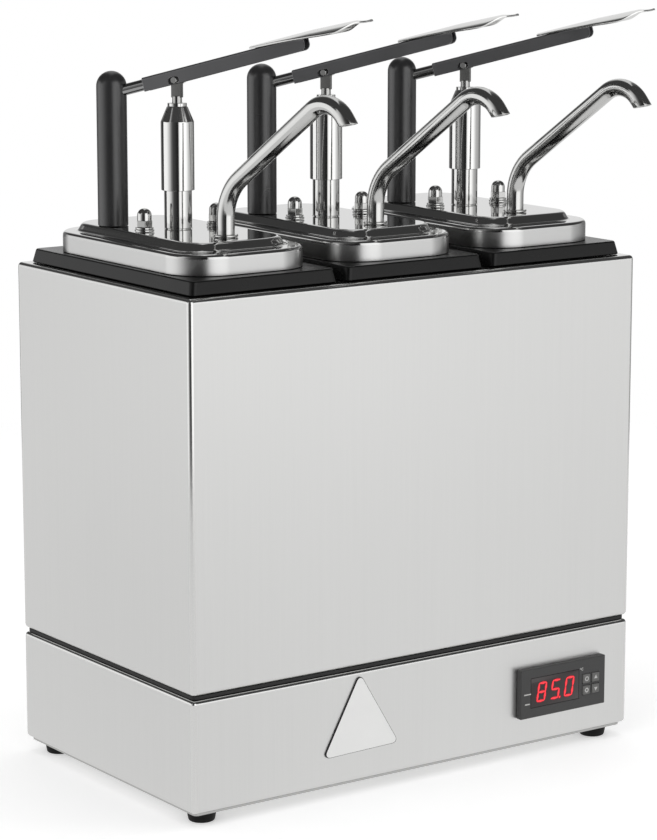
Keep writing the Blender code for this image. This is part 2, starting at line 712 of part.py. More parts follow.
def lid_ring(side, front, back, radius):
    """The lid's outline, drawn in by its own amount at the sides, front and back."""
    low = (side - LID_WIDTH / 2, MIDDLE_Y - LID_DEPTH / 2 + front)
    high = (LID_WIDTH / 2 - side, MIDDLE_Y + LID_DEPTH / 2 - back)
    return rounded_rectangle(low, high, radius, LID_CORNER_STEPS)


def lid(tag, home):
    def even(inset, radius):
        return lid_ring(inset, inset, inset, radius)

    def deck(inset, radius):
        return lid_ring(DECK_INSET_SIDE + inset, DECK_INSET_FRONT + inset, DECK_INSET_SIDE + inset, radius)

    skirt = even(0, LID_CORNER_RADIUS)
    lip = even(LIP_ROUND / 3, LID_CORNER_RADIUS)
    lip_top = even(LIP_ROUND, LID_CORNER_RADIUS - LIP_ROUND)
    inner = even(LID_SHEET, LID_CORNER_RADIUS - LID_SHEET)
    steps_under = LID_LEDGE - LID_SHEET
    rings = [
        (deck(DECK_SLOPE + LID_SHEET / 2, DECK_CORNER_RADIUS - LID_SHEET), DECK_UNDERSIDE),
        (deck(LID_SHEET, DECK_CORNER_RADIUS), steps_under),
        (even(LIP_ROUND + LID_SHEET, LID_CORNER_RADIUS - LIP_ROUND), steps_under),
        (inner, LID_LEDGE - LIP_ROUND - LID_SHEET / 2),
        (inner, LID_BOTTOM),
        (skirt, LID_BOTTOM),
        (skirt, LID_LEDGE - LIP_ROUND),
        (lip, LID_LEDGE - LIP_ROUND / 4),
        (lip_top, LID_LEDGE),
        (deck(0, DECK_CORNER_RADIUS), LID_LEDGE),
        (deck(DECK_SLOPE, DECK_CORNER_RADIUS - DECK_SLOPE / 2), DECK),
    ]
    shell = lofted(f"lid_{tag}", rings, home, mirror_steel)
    low, high = DECK_UNDERSIDE - OVERRUN, DECK + OVERRUN
    tube_place = (0, PUMP_Y, 0)
    tube_hole = TUBE_RADIUS + FIT
    cut(shell, rod(f"lid_tube_hole_{tag}", tube_hole, low, high, home, None, tube_place, sides=ROUND_SIDES))
    spout_place = (0, SPOUT_Y, 0)
    cut(shell, rod(f"lid_spout_hole_{tag}", SPOUT_RADIUS + FIT, low, high, home, place=spout_place))
    cut(shell, rod(f"lid_post_hole_{tag}", POST_SPIGOT_RADIUS + FIT, low, high, home, place=post_place()))
    for side, x in (("left", -STUD_SPACING / 2), ("right", STUD_SPACING / 2)):
        place = (x, PUMP_Y - STUD_FORWARD, 0)
        name = f"lid_stud_hole_{side}_{tag}"
        cut(shell, rod(name, STUD_RADIUS + FIT, low, high, home, place=place, sides=STUD_SIDES))


def post_place():
    foot = Vector((0, PUMP_Y, 0)) - POST_REACH * LEVER_AHEAD
    return (foot.x, foot.y, 0)


def pump_body(tag, home):
    """Guide tube, cylinder, crossbar, studs and outlet arm: one welded piece."""
    shoulder = CYLINDER_BOTTOM + CYLINDER_LENGTH
    tube_top = DECK + TUBE_ABOVE_DECK - OVERRUN
    profile = [
        (TUBE_BORE_RADIUS, tube_top),
        (TUBE_RADIUS, tube_top),
        (TUBE_RADIUS, shoulder + CYLINDER_SHOULDER),
        (CYLINDER_RADIUS, shoulder),
        (CYLINDER_RADIUS, CYLINDER_BOTTOM),
        (INLET_RADIUS, CYLINDER_BOTTOM),
        (INLET_RADIUS, CYLINDER_BOTTOM + CYLINDER_FLOOR),
        (CYLINDER_BORE_RADIUS, CYLINDER_BOTTOM + CYLINDER_FLOOR),
        (CYLINDER_BORE_RADIUS, shoulder),
        (TUBE_BORE_RADIUS, shoulder + CYLINDER_SHOULDER - FIT),
    ]
    place = (0, PUMP_Y, 0)
    body = turned(f"pump_body_{tag}", profile, home, polished_steel, place, sides=TURNED_SIDES, ring=True)

    bar_top = DECK_UNDERSIDE - FIT
    bar_y = PUMP_Y - STUD_FORWARD / 2
    low = (-CROSSBAR_LENGTH / 2, bar_y - CROSSBAR_WIDTH / 2, bar_top - CROSSBAR_THICKNESS)
    high = (CROSSBAR_LENGTH / 2, bar_y + CROSSBAR_WIDTH / 2, bar_top)
    bar = box(f"crossbar_{tag}", low, high, home)
    mid_wall = (TUBE_RADIUS + TUBE_BORE_RADIUS) / 2
    cut(bar, rod(f"crossbar_hole_{tag}", mid_wall, low[2] - OVERRUN, high[2] + OVERRUN, home, place=place))
    join(body, bar)
    for side, x in (("left", -STUD_SPACING / 2), ("right", STUD_SPACING / 2)):
        stud_place = (x, PUMP_Y - STUD_FORWARD, 0)
        stud_low = bar_top - CROSSBAR_THICKNESS / 2
        stud_top = DECK + STUD_ABOVE_DECK
        name = f"stud_{side}_{tag}"
        join(body, rod(name, STUD_RADIUS, stud_low, stud_top, home, place=stud_place, sides=STUD_SIDES))

    arm_back = PUMP_Y - (CYLINDER_RADIUS + CYLINDER_BORE_RADIUS) / 2
    arm_low = (-OUTLET_ARM_WIDTH / 2, SPOUT_Y - OUTLET_ARM_END, OUTLET_ARM_BOTTOM)
    join(body, box(f"outlet_arm_{tag}", arm_low, (OUTLET_ARM_WIDTH / 2, arm_back, OUTLET_ARM_TOP), home))
    port_middle = (SPOUT_FOOT + OUTLET_ARM_BOTTOM) / 2
    port = rod(
        f"outlet_port_{tag}",
        OUTLET_PORT_RADIUS / 2,
        0,
        PUMP_Y - SPOUT_Y,
        home,
        place=(0, SPOUT_Y, port_middle),
        turn=(-math.pi / 2, 0, 0),
    )
    cut(body, port)
    place = (0, SPOUT_Y, 0)
    low, high = SPOUT_FOOT - FIT, OUTLET_ARM_TOP + OVERRUN
    cut(body, rod(f"outlet_socket_{tag}", SPOUT_RADIUS + FIT, low, high, home, place=place))
    cut(body, rod(f"outlet_drop_{tag}", OUTLET_PORT_RADIUS, port_middle, SPOUT_FOOT, home, place=place))


def sleeve(tag, home):
    crown = SLEEVE_TOP - SLEEVE_CROWN
    hole = PLUNGER_ROD_RADIUS + FIT
    cone_top = SLEEVE_SHOULDER + SLEEVE_CONE_HEIGHT
    profile = [
        (hole, SLEEVE_TOP),
        (SLEEVE_NECK_RADIUS, SLEEVE_TOP),
        (SLEEVE_NECK_RADIUS, cone_top),
        (SLEEVE_CONE_TOP_RADIUS, cone_top - FIT),
        (SLEEVE_RADIUS, SLEEVE_SHOULDER),
        (SLEEVE_RADIUS, SLEEVE_BOTTOM),
        (SLEEVE_BORE_RADIUS, SLEEVE_BOTTOM),
        (SLEEVE_BORE_RADIUS, SLEEVE_SHOULDER - FIT),
        (hole, crown),
    ]
    turned(f"sleeve_{tag}", profile, home, polished_steel, sides=TURNED_SIDES, ring=True)


def plunger(tag, home):
    """Rod and piston, with a flat tongue on top that the lever's bolt goes through."""
    rod_top = SLEEVE_TOP + TONGUE_FOOT + TONGUE_ROD_RUN
    piston_bottom = OUTLET_ARM_TOP + PISTON_GAP + lever_travel()
    profile = [
        (0, rod_top),
        (PLUNGER_ROD_RADIUS, rod_top),
        (PLUNGER_ROD_RADIUS, piston_bottom + PISTON_HEIGHT),
        (PISTON_RADIUS, piston_bottom + PISTON_HEIGHT),
        (PISTON_RADIUS, piston_bottom),
        (0, piston_bottom),
    ]
    body = turned(f"plunger_{tag}", profile, home, polished_steel, sides=NUT_SIDES)
    half = TONGUE_WIDTH / 2
    outline = [(-half, SLEEVE_TOP + TONGUE_FOOT), (half, SLEEVE_TOP + TONGUE_FOOT)]
    outline += arc((0, BOLT_HEIGHT), half, 0, math.pi, HEX_SIDES)
    turn = (0, 0, LEVER_TURN - math.pi / 2)
    join(body, slab(f"tongue_{tag}", outline, -TONGUE_THICKNESS / 2, TONGUE_THICKNESS / 2, home, turn=turn))
    hole_turn = (math.pi / 2, 0, LEVER_TURN - math.pi / 2)
    reach = TONGUE_THICKNESS / 2 + OVERRUN
    place = (0, 0, BOLT_HEIGHT)
    cut(body, rod(f"tongue_hole_{tag}", BOLT_RADIUS + FIT, -reach, reach, home, place=place, turn=hole_turn))


def lever_travel():
    """How far the bolt sinks along the pump's axis as the lever goes down."""
    offset = BOLT_BELOW_CHANNEL_AXIS
    low = LEVER_PITCH - LEVER_SWING
    rest = POST_REACH * math.tan(LEVER_PITCH) - offset / math.cos(LEVER_PITCH)
    return rest - POST_REACH * math.tan(low) + offset / math.cos(low)


def pivot_bolt(tag, home):
    """Turned along its own Z, whose head end points away from the lever's far side."""
    seat = CHANNEL_WIDTH / 2 + FIT
    top = seat + BOLT_HEAD_LENGTH
    profile = [
        (0, top),
        (BOLT_HEAD_RADIUS, top),
        (BOLT_HEAD_RADIUS, seat),
        (BOLT_RADIUS, seat),
        (BOLT_RADIUS, -CHANNEL_WIDTH / 2 - BOLT_END_RUN),
        (0, -CHANNEL_WIDTH / 2 - BOLT_END_RUN),
    ]
    place = (0, 0, BOLT_HEIGHT)
    turn = (math.pi / 2, 0, LEVER_TURN - math.pi / 2)
    bolt = turned(f"pivot_bolt_{tag}", profile, home, polished_steel, place, turn, SMALL_SIDES)
    low, high = top - BOLT_SOCKET_DEPTH, top + OVERRUN
    cut(bolt, rod(f"bolt_socket_{tag}", BOLT_SOCKET_RADIUS, low, high, home, None, place, turn, HEX_SIDES))


def post(tag, home):
    dome_base = PIVOT_HEIGHT + POST_DOME_ABOVE_PIVOT
    foot = DECK + FIT
    dome = arc((0, dome_base), POST_RADIUS, math.pi / 2, 0, DOME_STEPS)
    profile = [(0, dome_base + POST_RADIUS)] + dome[1:]
    profile += [
        (POST_RADIUS, foot),
        (POST_SPIGOT_RADIUS, foot),
        (POST_SPIGOT_RADIUS, DECK - POST_SPIGOT_LENGTH),
        (0, DECK - POST_SPIGOT_LENGTH),
    ]
    body = turned(f"post_{tag}", profile, home, black_plastic, post_place())
    x, y, _ = post_place()
    place = (x, y, PIVOT_HEIGHT)
    turn = (0, 0, LEVER_TURN - math.pi / 2)
    low = (-POST_SLOT_BACK, -POST_SLOT_WIDTH / 2, -POST_SLOT_BELOW_PIVOT)
    high = (POST_RADIUS + OVERRUN, POST_SLOT_WIDTH / 2, POST_SLOT_ABOVE_PIVOT)
    cut(body, box(f"post_slot_{tag}", low, high, home, place=place, turn=turn))
    hole_turn = (math.pi / 2, 0, LEVER_TURN - math.pi / 2)
    near, far = -POST_RADIUS - OVERRUN, POST_RADIUS - PIVOT_PIN_BLIND + FIT
    cut(body, rod(f"post_pin_hole_{tag}", PIVOT_PIN_RADIUS + FIT, near, far, home, None, place, hole_turn))


def pivot_pin(tag, home):
    x, y, _ = post_place()
    place = (x, y, PIVOT_HEIGHT)
    turn = (math.pi / 2, 0, LEVER_TURN - math.pi / 2)
    near, far = -POST_RADIUS + PIVOT_PIN_RECESS, POST_RADIUS - PIVOT_PIN_BLIND
    rod(f"pivot_pin_{tag}", PIVOT_PIN_RADIUS, near, far, home, polished_steel, place, turn)


def bolt_slot_range():
    """The bolt's nearest and furthest place along the lever, over the lever's swing."""
    places = []
    for angle in (LEVER_PITCH, LEVER_PITCH - LEVER_SWING, 0):
        sine = math.sin(angle)
        places.append(POST_REACH / math.cos(angle) - BOLT_BELOW_CHANNEL_AXIS * sine / math.cos(angle))
    return min(places), max(places)


def lever(tag, home):
    """An open channel with a bar plugged into its back end, along its own X from the pivot."""
    half = CHANNEL_HEIGHT / 2
    nose = CHANNEL_NOSE_RADIUS
    outline = [(CHANNEL_START, -half)]
    outline += arc((CHANNEL_END - nose, -half + nose), nose, -math.pi / 2, 0, DOME_STEPS)
    outline += [(CHANNEL_END, half), (CHANNEL_START, half)]
    side = CHANNEL_WIDTH / 2
    arm = slab(f"lever_{tag}", outline, -side, side, home, dark_steel)
    inner = side - CHANNEL_SHEET
    low = (CHANNEL_START - OVERRUN, -inner, -half - OVERRUN)
    high = (CHANNEL_END + OVERRUN, inner, half - CHANNEL_SHEET)
    cut(arm, box(f"channel_space_{tag}", low, high, home))

    plug_start = CHANNEL_START + CHANNEL_PLUG_SETBACK
    plug_end = plug_start + CHANNEL_PLUG_LENGTH
    overlap = CHANNEL_SHEET / 2
    plug_low = (plug_start, -inner - overlap, -half + overlap)
    plug_high = (plug_end, inner + overlap, half - overlap)
    join(arm, box(f"channel_plug_{tag}", plug_low, plug_high, home))
    bar_turn = (0, math.pi / 2, 0)
    bar_end = (plug_start + plug_end) / 2
    name = f"lever_bar_{tag}"
    join(arm, rod(name, LEVER_BAR_RADIUS, -LEVER_BAR_TAIL, bar_end, home, turn=bar_turn, sides=NUT_SIDES))
    across = (math.pi / 2, 0, 0)
    reach = side + OVERRUN
    cut(arm, rod(f"lever_pin_hole_{tag}", PIVOT_PIN_RADIUS + FIT, -reach, reach, home, turn=across))

    near, far = bolt_slot_range()
    radius = BOLT_RADIUS + FIT
    z = -BOLT_BELOW_CHANNEL_AXIS
    slot = arc((far, z), radius, -math.pi / 2, math.pi / 2, HEX_SIDES)
    slot += arc((near, z), radius, math.pi / 2, 3 * math.pi / 2, HEX_SIDES)
    cut(arm, slab(f"bolt_slot_{tag}", slot, -reach, reach, home))


def pad_crown(share):
    """Height of the pad's crown over the lever's axis, at a share of its length."""
    crest = PAD_DROOP * (CHANNEL_WIDTH / 2 / PAD_HALF_WIDTH) ** 2
    level = CHANNEL_HEIGHT / 2 + FIT + crest + PAD_THICKNESS
    if share <= PAD_FLAT_SHARE:
        return level
    if share <= PAD_TIP_SHARE:
        return level - PAD_DIP * (share - PAD_FLAT_SHARE) / (PAD_TIP_SHARE - PAD_FLAT_SHARE)
    tip = math.sin(math.pi / 2 * (share - PAD_TIP_SHARE) / (1 - PAD_TIP_SHARE))
    return level - PAD_DIP - (PAD_TIP_FALL - PAD_DIP) * tip


def thumb_pad(tag, home):
    """A plate arched from side to side, widening to its rounded front end."""
    shape = bmesh.new()
    rows = []
    for along, wide in zip(PAD_LENGTH_SHARES, PAD_WIDTH_SHARES):
        row = []
        for column in PAD_COLUMN_SHARES:
            y = column * wide * PAD_HALF_WIDTH
            z = pad_crown(along) - PAD_DROOP * (y / PAD_HALF_WIDTH) ** 2
            row.append(shape.verts.new((PAD_START + along * PAD_LENGTH, y, z)))
        rows.append(row)
    for back, front in zip(rows, rows[1:]):
        for i in range(len(back) - 1):
            shape.faces.new((back[i], front[i], front[i + 1], back[i + 1]))
    plate = from_bmesh(f"thumb_pad_{tag}", shape, home, polished_steel)
    hollow(plate, PAD_THICKNESS)


def spout_path():
    """The tube's centre line, as distance ahead and height above the deck's bend."""
    lower = SPOUT_LOWER_BEND_RADIUS
    upper = SPOUT_UPPER_BEND_RADIUS
    bend_start = DECK + SPOUT_BEND_ABOVE_DECK
    path = [(0, SPOUT_FOOT)]
    path += arc((lower, bend_start), lower, math.pi, math.pi / 2 + SPOUT_RISE, DOME_STEPS)
    x, z = path[-1]
    x += SPOUT_ARM_LENGTH * math.cos(SPOUT_RISE)
    z += SPOUT_ARM_LENGTH * math.sin(SPOUT_RISE)
    centre = (x + upper * math.sin(SPOUT_RISE), z - upper * math.cos(SPOUT_RISE))
    path += arc(centre, upper, math.pi / 2 + SPOUT_RISE, math.pi / 2 - SPOUT_FALL, DOME_STEPS + 1)
    x, z = path[-1]
    run = SPOUT_END_LENGTH + 2 * SPOUT_RADIUS
    path.append((x + run * math.cos(SPOUT_FALL), z - run * math.sin(SPOUT_FALL)))
    mouth = (x + SPOUT_END_LENGTH * math.cos(SPOUT_FALL), z - SPOUT_END_LENGTH * math.sin(SPOUT_FALL))
    return path, mouth


def tube(name, radius, points, home, material=None, place=(0, 0, 0), turn=(0, 0, 0)):
    """A round tube along points in XZ, as a closed mesh."""
    curve = bpy.data.curves.new(name, "CURVE")
    curve.dimensions = "3D"
    curve.bevel_depth = radius
    curve.bevel_resolution = TUBE_SIDES // 4
    curve.use_fill_caps = True
    curve.resolution_u = 1
    curve.render_resolution_u = 0
    line = curve.splines.new("POLY")
    line.points.add(len(points) - 1)
    for point, (x, z) in zip(line.points, points):
        point.co = (x, 0, z, 1)
    guide = bpy.data.objects.new(name + "_line", curve)
    cutters.objects.link(guide)
    bpy.context.view_layer.update()
    mesh = bpy.data.meshes.new_from_object(guide.evaluated_get(bpy.context.evaluated_depsgraph_get()))
    shape = bmesh.new()
    shape.from_mesh(mesh)
    bmesh.ops.remove_doubles(shape, verts=shape.verts, dist=WELD)
    bmesh.ops.recalc_face_normals(shape, faces=shape.faces)
    bpy.data.objects.remove(guide, do_unlink=True)
    return from_bmesh(name, shape, home, material, place, turn)


def spout(tag, home):
    path, mouth = spout_path()
    place = (0, SPOUT_Y, 0)
    turn = (0, 0, SPOUT_TURN - math.pi / 2)
    body = tube(f"spout_{tag}", SPOUT_RADIUS, path, home, polished_steel, place, turn)
    low = DECK + FIT
    high = low + SPOUT_FERRULE_HEIGHT
    join(body, rod(f"ferrule_{tag}", SPOUT_FERRULE_RADIUS, low, high, home, None, place))
    foot_x, foot_z = path[0]
    long_path = [(foot_x, foot_z - OVERRUN)] + path[1:]
    cut(body, tube(f"spout_bore_{tag}", SPOUT_BORE_RADIUS, long_path, home, None, place, turn))
    side = 4 * SPOUT_RADIUS
    offset = Vector((mouth[0], 0, mouth[1]))
    offset.rotate(Matrix.Rotation(turn[2], 3, "Z"))
    mouth_turn = (0, -SPOUT_MOUTH_TILT, turn[2])
    mouth_place = (offset.x, SPOUT_Y + offset.y, offset.z)
    low, high = (-side, -side, -side), (side, side, 0)
    cut(body, box(f"mouth_cut_{tag}", low, high, home, None, mouth_place, mouth_turn))


def cap_nut(name, x, home):
    seat = DECK + FIT
    hex_low = seat + NUT_WASHER_HEIGHT
    hex_top = hex_low + NUT_HEX_HEIGHT
    bore = STUD_RADIUS + FIT
    waist = NUT_DOME_HEIGHT - NUT_DOME_RADIUS
    dome = arc((0, hex_top + waist), NUT_DOME_RADIUS, math.pi / 2, 0, DOME_STEPS - 1)
    profile = [(0, hex_top + NUT_DOME_HEIGHT)] + dome[1:]
    profile += [
        (NUT_DOME_RADIUS, hex_low),
        (NUT_WASHER_RADIUS, hex_low),
        (NUT_WASHER_RADIUS, seat),
        (bore, seat),
        (bore, seat + NUT_BORE_DEPTH),
        (0, seat + NUT_BORE_DEPTH),
    ]
    place = (x, PUMP_Y - STUD_FORWARD, 0)
    nut = turned(name, profile, home, polished_steel, place, sides=NUT_SIDES)
    hexagon = rod(f"{name}_hex", NUT_HEX_RADIUS, hex_low - FIT, hex_top, home, place=place, sides=HEX_SIDES)
    low, high = hex_low - OVERRUN, hex_top + OVERRUN
    cut(hexagon, rod(f"{name}_core", bore + FIT, low, high, home, place=place, sides=NUT_SIDES))
    join(nut, hexagon)


def outline_middle():
    """The middle of the whole outline seen from above, in housing places."""
    reaches = []
    for along, wide in zip(PAD_LENGTH_SHARES, PAD_WIDTH_SHARES):
        z = pad_crown(along) - PAD_DROOP * wide**2
        ahead = (PAD_START + along * PAD_LENGTH) * math.cos(LEVER_PITCH) - z * math.sin(LEVER_PITCH)
        aside = wide * PAD_HALF_WIDTH * math.cos(LEVER_TURN)
        reaches.append((ahead - POST_REACH) * LEVER_AHEAD.x + aside)
    right = STATION_X[-1] + max(reaches)
    _, mouth = spout_path()
    front = SPOUT_Y + (mouth[0] + SPOUT_RADIUS) * SPOUT_AHEAD.y
    back = HOUSING_DEPTH + GLAND_FLANGE_THICKNESS + GLAND_DOME_LENGTH
    return Vector((right / 2, (front + back) / 2, 0))


def station(tag, x, home):
    middle = empty(f"station_{tag}", (x, 0, 0), home)
    collar(tag, middle)
    pan(tag, middle)
    lid(tag, middle)
    pump_body(tag, middle)
    post(tag, middle)
    pivot_pin(tag, middle)
    spout(tag, middle)
    cap_nut(f"nut_left_{tag}", -STUD_SPACING / 2, middle)
    cap_nut(f"nut_right_{tag}", STUD_SPACING / 2, middle)
    pump_axis = empty(f"pump_axis_{tag}", (0, PUMP_Y, 0), middle)
    sleeve(tag, pump_axis)
    plunger(tag, pump_axis)
    pivot_bolt(tag, pump_axis)
    post_x, post_y, _ = post_place()
    lever_turn = (0, -LEVER_PITCH, LEVER_TURN - math.pi / 2)
    pivot = empty(f"lever_pivot_{tag}", (post_x, post_y, PIVOT_HEIGHT), middle, lever_turn)
    lever(tag, pivot)
    thumb_pad(tag, pivot)


clear_scene()
parts = new_collection("hot_fudge_topping_warmer")
cutters = new_collection("cutters")

brushed_steel = finish("brushed_steel", (0.62, 0.62, 0.61), 0.38, 1.0)
plain_steel = finish("plain_steel", (0.55, 0.55, 0.54), 0.45, 1.0)
polished_steel = finish("polished_steel", (0.78, 0.78, 0.77), 0.12, 1.0)
mirror_steel = finish("mirror_steel", (0.80, 0.80, 0.79), 0.06, 1.0)
dark_steel = finish("dark_steel", (0.09, 0.09, 0.10), 0.30, 1.0)
black_plastic = finish("black_plastic", (0.025, 0.025, 0.025), 0.45, 0.0)
display_black = finish("display_black", (0.012, 0.006, 0.006), 0.15, 0.0)
button_grey = finish("button_grey", (0.10, 0.10, 0.10), 0.50, 0.0)
rubber = finish("rubber", (0.02, 0.02, 0.02), 0.70, 0.0)

appliance = empty("appliance", -outline_middle())
housing_upper(appliance)
housing_base(appliance)
divider(appliance)
bottom_plate(appliance)
feet(appliance)
tank(appliance)
heater(appliance)
controller(appliance)
cable_gland(appliance)
for order, station_x in enumerate(STATION_X, 1):
    station(order, station_x, appliance)
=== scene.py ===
"""Looks of a countertop hot fudge topping warmer with three lever pumps.

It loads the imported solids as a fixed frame, models the visible pieces around
them, and gives each piece its finish. Metres, +Z up, the front faces -Y.
"""

import json
import math

import bmesh
import bpy
from mathutils import Matrix, Vector


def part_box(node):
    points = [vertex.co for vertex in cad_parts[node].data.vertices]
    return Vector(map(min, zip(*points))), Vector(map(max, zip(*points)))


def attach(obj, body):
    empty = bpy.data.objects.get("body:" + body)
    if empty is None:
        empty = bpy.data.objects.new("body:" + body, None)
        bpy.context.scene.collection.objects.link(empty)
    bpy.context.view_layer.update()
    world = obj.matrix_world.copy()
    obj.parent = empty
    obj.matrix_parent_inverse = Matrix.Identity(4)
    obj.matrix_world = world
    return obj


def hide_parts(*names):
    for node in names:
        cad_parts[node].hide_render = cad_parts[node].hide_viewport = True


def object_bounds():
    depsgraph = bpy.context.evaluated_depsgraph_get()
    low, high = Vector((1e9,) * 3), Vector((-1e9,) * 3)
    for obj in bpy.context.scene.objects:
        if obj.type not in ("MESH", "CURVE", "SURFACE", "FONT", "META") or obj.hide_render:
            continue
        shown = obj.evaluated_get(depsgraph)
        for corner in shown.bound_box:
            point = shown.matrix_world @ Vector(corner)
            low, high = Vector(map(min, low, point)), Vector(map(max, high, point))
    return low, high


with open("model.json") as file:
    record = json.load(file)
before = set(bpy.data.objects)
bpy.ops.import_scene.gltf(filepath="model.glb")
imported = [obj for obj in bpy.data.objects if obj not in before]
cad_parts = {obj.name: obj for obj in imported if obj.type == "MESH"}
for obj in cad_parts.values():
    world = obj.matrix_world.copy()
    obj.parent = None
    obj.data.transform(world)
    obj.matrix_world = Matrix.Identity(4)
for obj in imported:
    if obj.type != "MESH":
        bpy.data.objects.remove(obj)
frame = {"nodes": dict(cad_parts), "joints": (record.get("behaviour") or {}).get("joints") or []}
cad_low, cad_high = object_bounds()
MM = 0.001

# Camera. It stands in front of the appliance and to its left, a little above the
# controller, far enough away that the edges of the housing stay nearly parallel.
CAMERA_AZIMUTH = math.radians(-35.29)
CAMERA_ELEVATION = math.radians(10.80)
CAMERA_DISTANCE = 2.0315
CAMERA_TARGET = Vector((-0.01554, 0.01378, 0.23366))
CAMERA_LENS = 161.7
CAMERA_SENSOR = 36
CAMERA_REACH = 100

bpy.ops.object.select_all(action="DESELECT")
bpy.ops.object.camera_add()
camera = bpy.context.object
camera.name = "camera"
level_share = math.cos(CAMERA_ELEVATION)
towards_camera = Vector(
    (
        math.sin(CAMERA_AZIMUTH) * level_share,
        -math.cos(CAMERA_AZIMUTH) * level_share,
        math.sin(CAMERA_ELEVATION),
    )
)
turn = Matrix.Rotation(CAMERA_AZIMUTH, 4, "Z")
tilt = Matrix.Rotation(math.pi / 2 - CAMERA_ELEVATION, 4, "X")
camera.matrix_world = Matrix.Translation(CAMERA_TARGET + CAMERA_DISTANCE * towards_camera) @ turn @ tilt
camera.data.lens = CAMERA_LENS
camera.data.sensor_width = CAMERA_SENSOR
camera.data.sensor_fit = "HORIZONTAL"
camera.data.clip_end = CAMERA_REACH
bpy.context.scene.camera = camera
bpy.context.scene.view_settings.view_transform = "Standard"


# Light. A pale studio with open white sides and a white background. A dark stretch
# of room, where a photographer would stand, gives the polished steel its dark bands.
class Signal:
    """A shader socket. An expression on it adds the Math nodes that work it out."""

    def __init__(self, tree, socket):
        self.tree = tree
        self.socket = socket

    def math(self, operation, *terms):
        return add_node(self.tree, "Math", {"operation": operation}, dict(enumerate(terms)))

    def __add__(self, other):
        return self.math("ADD", self, other)

    __radd__ = __add__

    def __sub__(self, other):
        return self.math("SUBTRACT", self, other)

    def __rsub__(self, other):
        return self.math("SUBTRACT", other, self)

    def __mul__(self, other):
        return self.math("MULTIPLY", self, other)

    __rmul__ = __mul__

    def __abs__(self):
        return self.math("ABSOLUTE", self)

    def clamp(self):
        return self.math("MINIMUM", self.math("MAXIMUM", self, 0.0), 1.0)


def feed(tree, socket, value):
    """Link a signal to a socket, or set a plain value on it."""
    if isinstance(value, Signal):
        tree.links.new(value.socket, socket)
    else:
        socket.default_value = value


def add_node(tree, kind, settings=None, inputs=None, output=0):
    """Add a node with its settings and socket values, and give one of its outputs, if any."""
    made = tree.nodes.new("ShaderNode" + kind)
    for name, value in (settings or {}).items():
        if name == "stops":
            ramp = made.color_ramp
            while len(ramp.elements) < len(value):
                ramp.elements.new(0.5)
            for stop, (place, grey) in zip(ramp.elements, value):
                stop.position = place
                stop.color = (grey, grey, grey, 1)
        else:
            setattr(made, name, value)
    for name, value in (inputs or {}).items():
        feed(tree, made.inputs[name], value)
    return Signal(tree, made.outputs[output]) if made.outputs else None


def start_finish(name, colour, roughness, metallic, more=None):
    """A new material with plain values on its shader, its tree and its sockets."""
    material = bpy.data.materials.new(name)
    material.use_nodes = True
    inner = material.node_tree.nodes["Principled BSDF"].inputs
    plain = {"Base Color": (*colour, 1), "Roughness": roughness, "Metallic": metallic}
    for socket, value in {**plain, **(more or {})}.items():
        inner[socket].default_value = value
    return material, material.node_tree, inner


# Brightness of the room in the steel, by the angle from the camera round to the right
ROOM_BRIGHTNESS = (
    *((-180, 0.60), (-164, 0.60), (-158, 0.12), (-136, 0.14), (-106, 0.86)),
    *((-75, 0.80), (-52, 0.40), (-42, 0.16), (-30, 0.05), (0, 0.012)),
    *((9, 0.02), (14, 0.80), (30, 1.00), (58, 1.00), (88, 0.42)),
    *((108, 0.36), (130, 0.18), (158, 0.12), (166, 0.60)),
)
# The sides are white up to a height, given as its sine, and the ceiling is dark
CEILING = 0.04
SIDES_TOP = 0.33
SIDES_TOP_FRONT = 0.62
SIDES_FADE = 20.0
# The front part and the part behind, as shares of a turn away from the camera
FRONT_END = 0.19
FRONT_FADE = 40.0
BEHIND = 0.39
BEHIND_FADE = 20.0
ROOM_FILL = 0.55
ROOM_MIRRORED = 1.46

world = bpy.data.worlds.new("studio")
bpy.context.scene.world = world
world.use_nodes = True
sky = world.node_tree
sky.nodes.clear()
look = add_node(sky, "TexCoord")
east, north, up = [add_node(sky, "SeparateXYZ", None, {0: look}, axis) for axis in "XYZ"]
around = east.math("ARCTAN2", east, north * -1.0)
turns = around * (1 / math.tau) + (1.5 - CAMERA_AZIMUTH / math.tau)
share = turns.math("FRACT", turns)
stops = [(0.5 + angle / 360, grey) for angle, grey in ROOM_BRIGHTNESS]
walls = add_node(sky, "ValToRGB", {"stops": stops}, {"Fac": share})
aside = abs(share - 0.5)
behind = ((aside - BEHIND) * BEHIND_FADE).clamp()
to_front = ((aside - FRONT_END) * -FRONT_FADE).clamp()
over_sides = up - SIDES_TOP - to_front * (SIDES_TOP_FRONT - SIDES_TOP)
low_down = (over_sides * -SIDES_FADE).clamp()
pale = low_down.math("MAXIMUM", low_down, behind)
inputs = {"Factor": pale, "A": (CEILING, CEILING, CEILING, 1), "B": walls}
room = add_node(sky, "Mix", {"data_type": "RGBA"}, inputs, 2)
in_steel = add_node(sky, "LightPath", output="Is Glossy Ray")
in_view = add_node(sky, "LightPath", output="Is Camera Ray")
fill = add_node(sky, "Background", None, {"Color": (1, 1, 1, 1), "Strength": ROOM_FILL})
mirrored = add_node(sky, "Background", None, {"Color": room, "Strength": ROOM_MIRRORED})
backdrop = add_node(sky, "Background", None, {"Color": (1, 1, 1, 1), "Strength": 1.0})
on_object = add_node(sky, "MixShader", None, {0: in_steel, 1: fill, 2: mirrored})
shown = add_node(sky, "MixShader", None, {0: in_view, 1: on_object, 2: backdrop})
add_node(sky, "OutputWorld", None, {"Surface": shown})

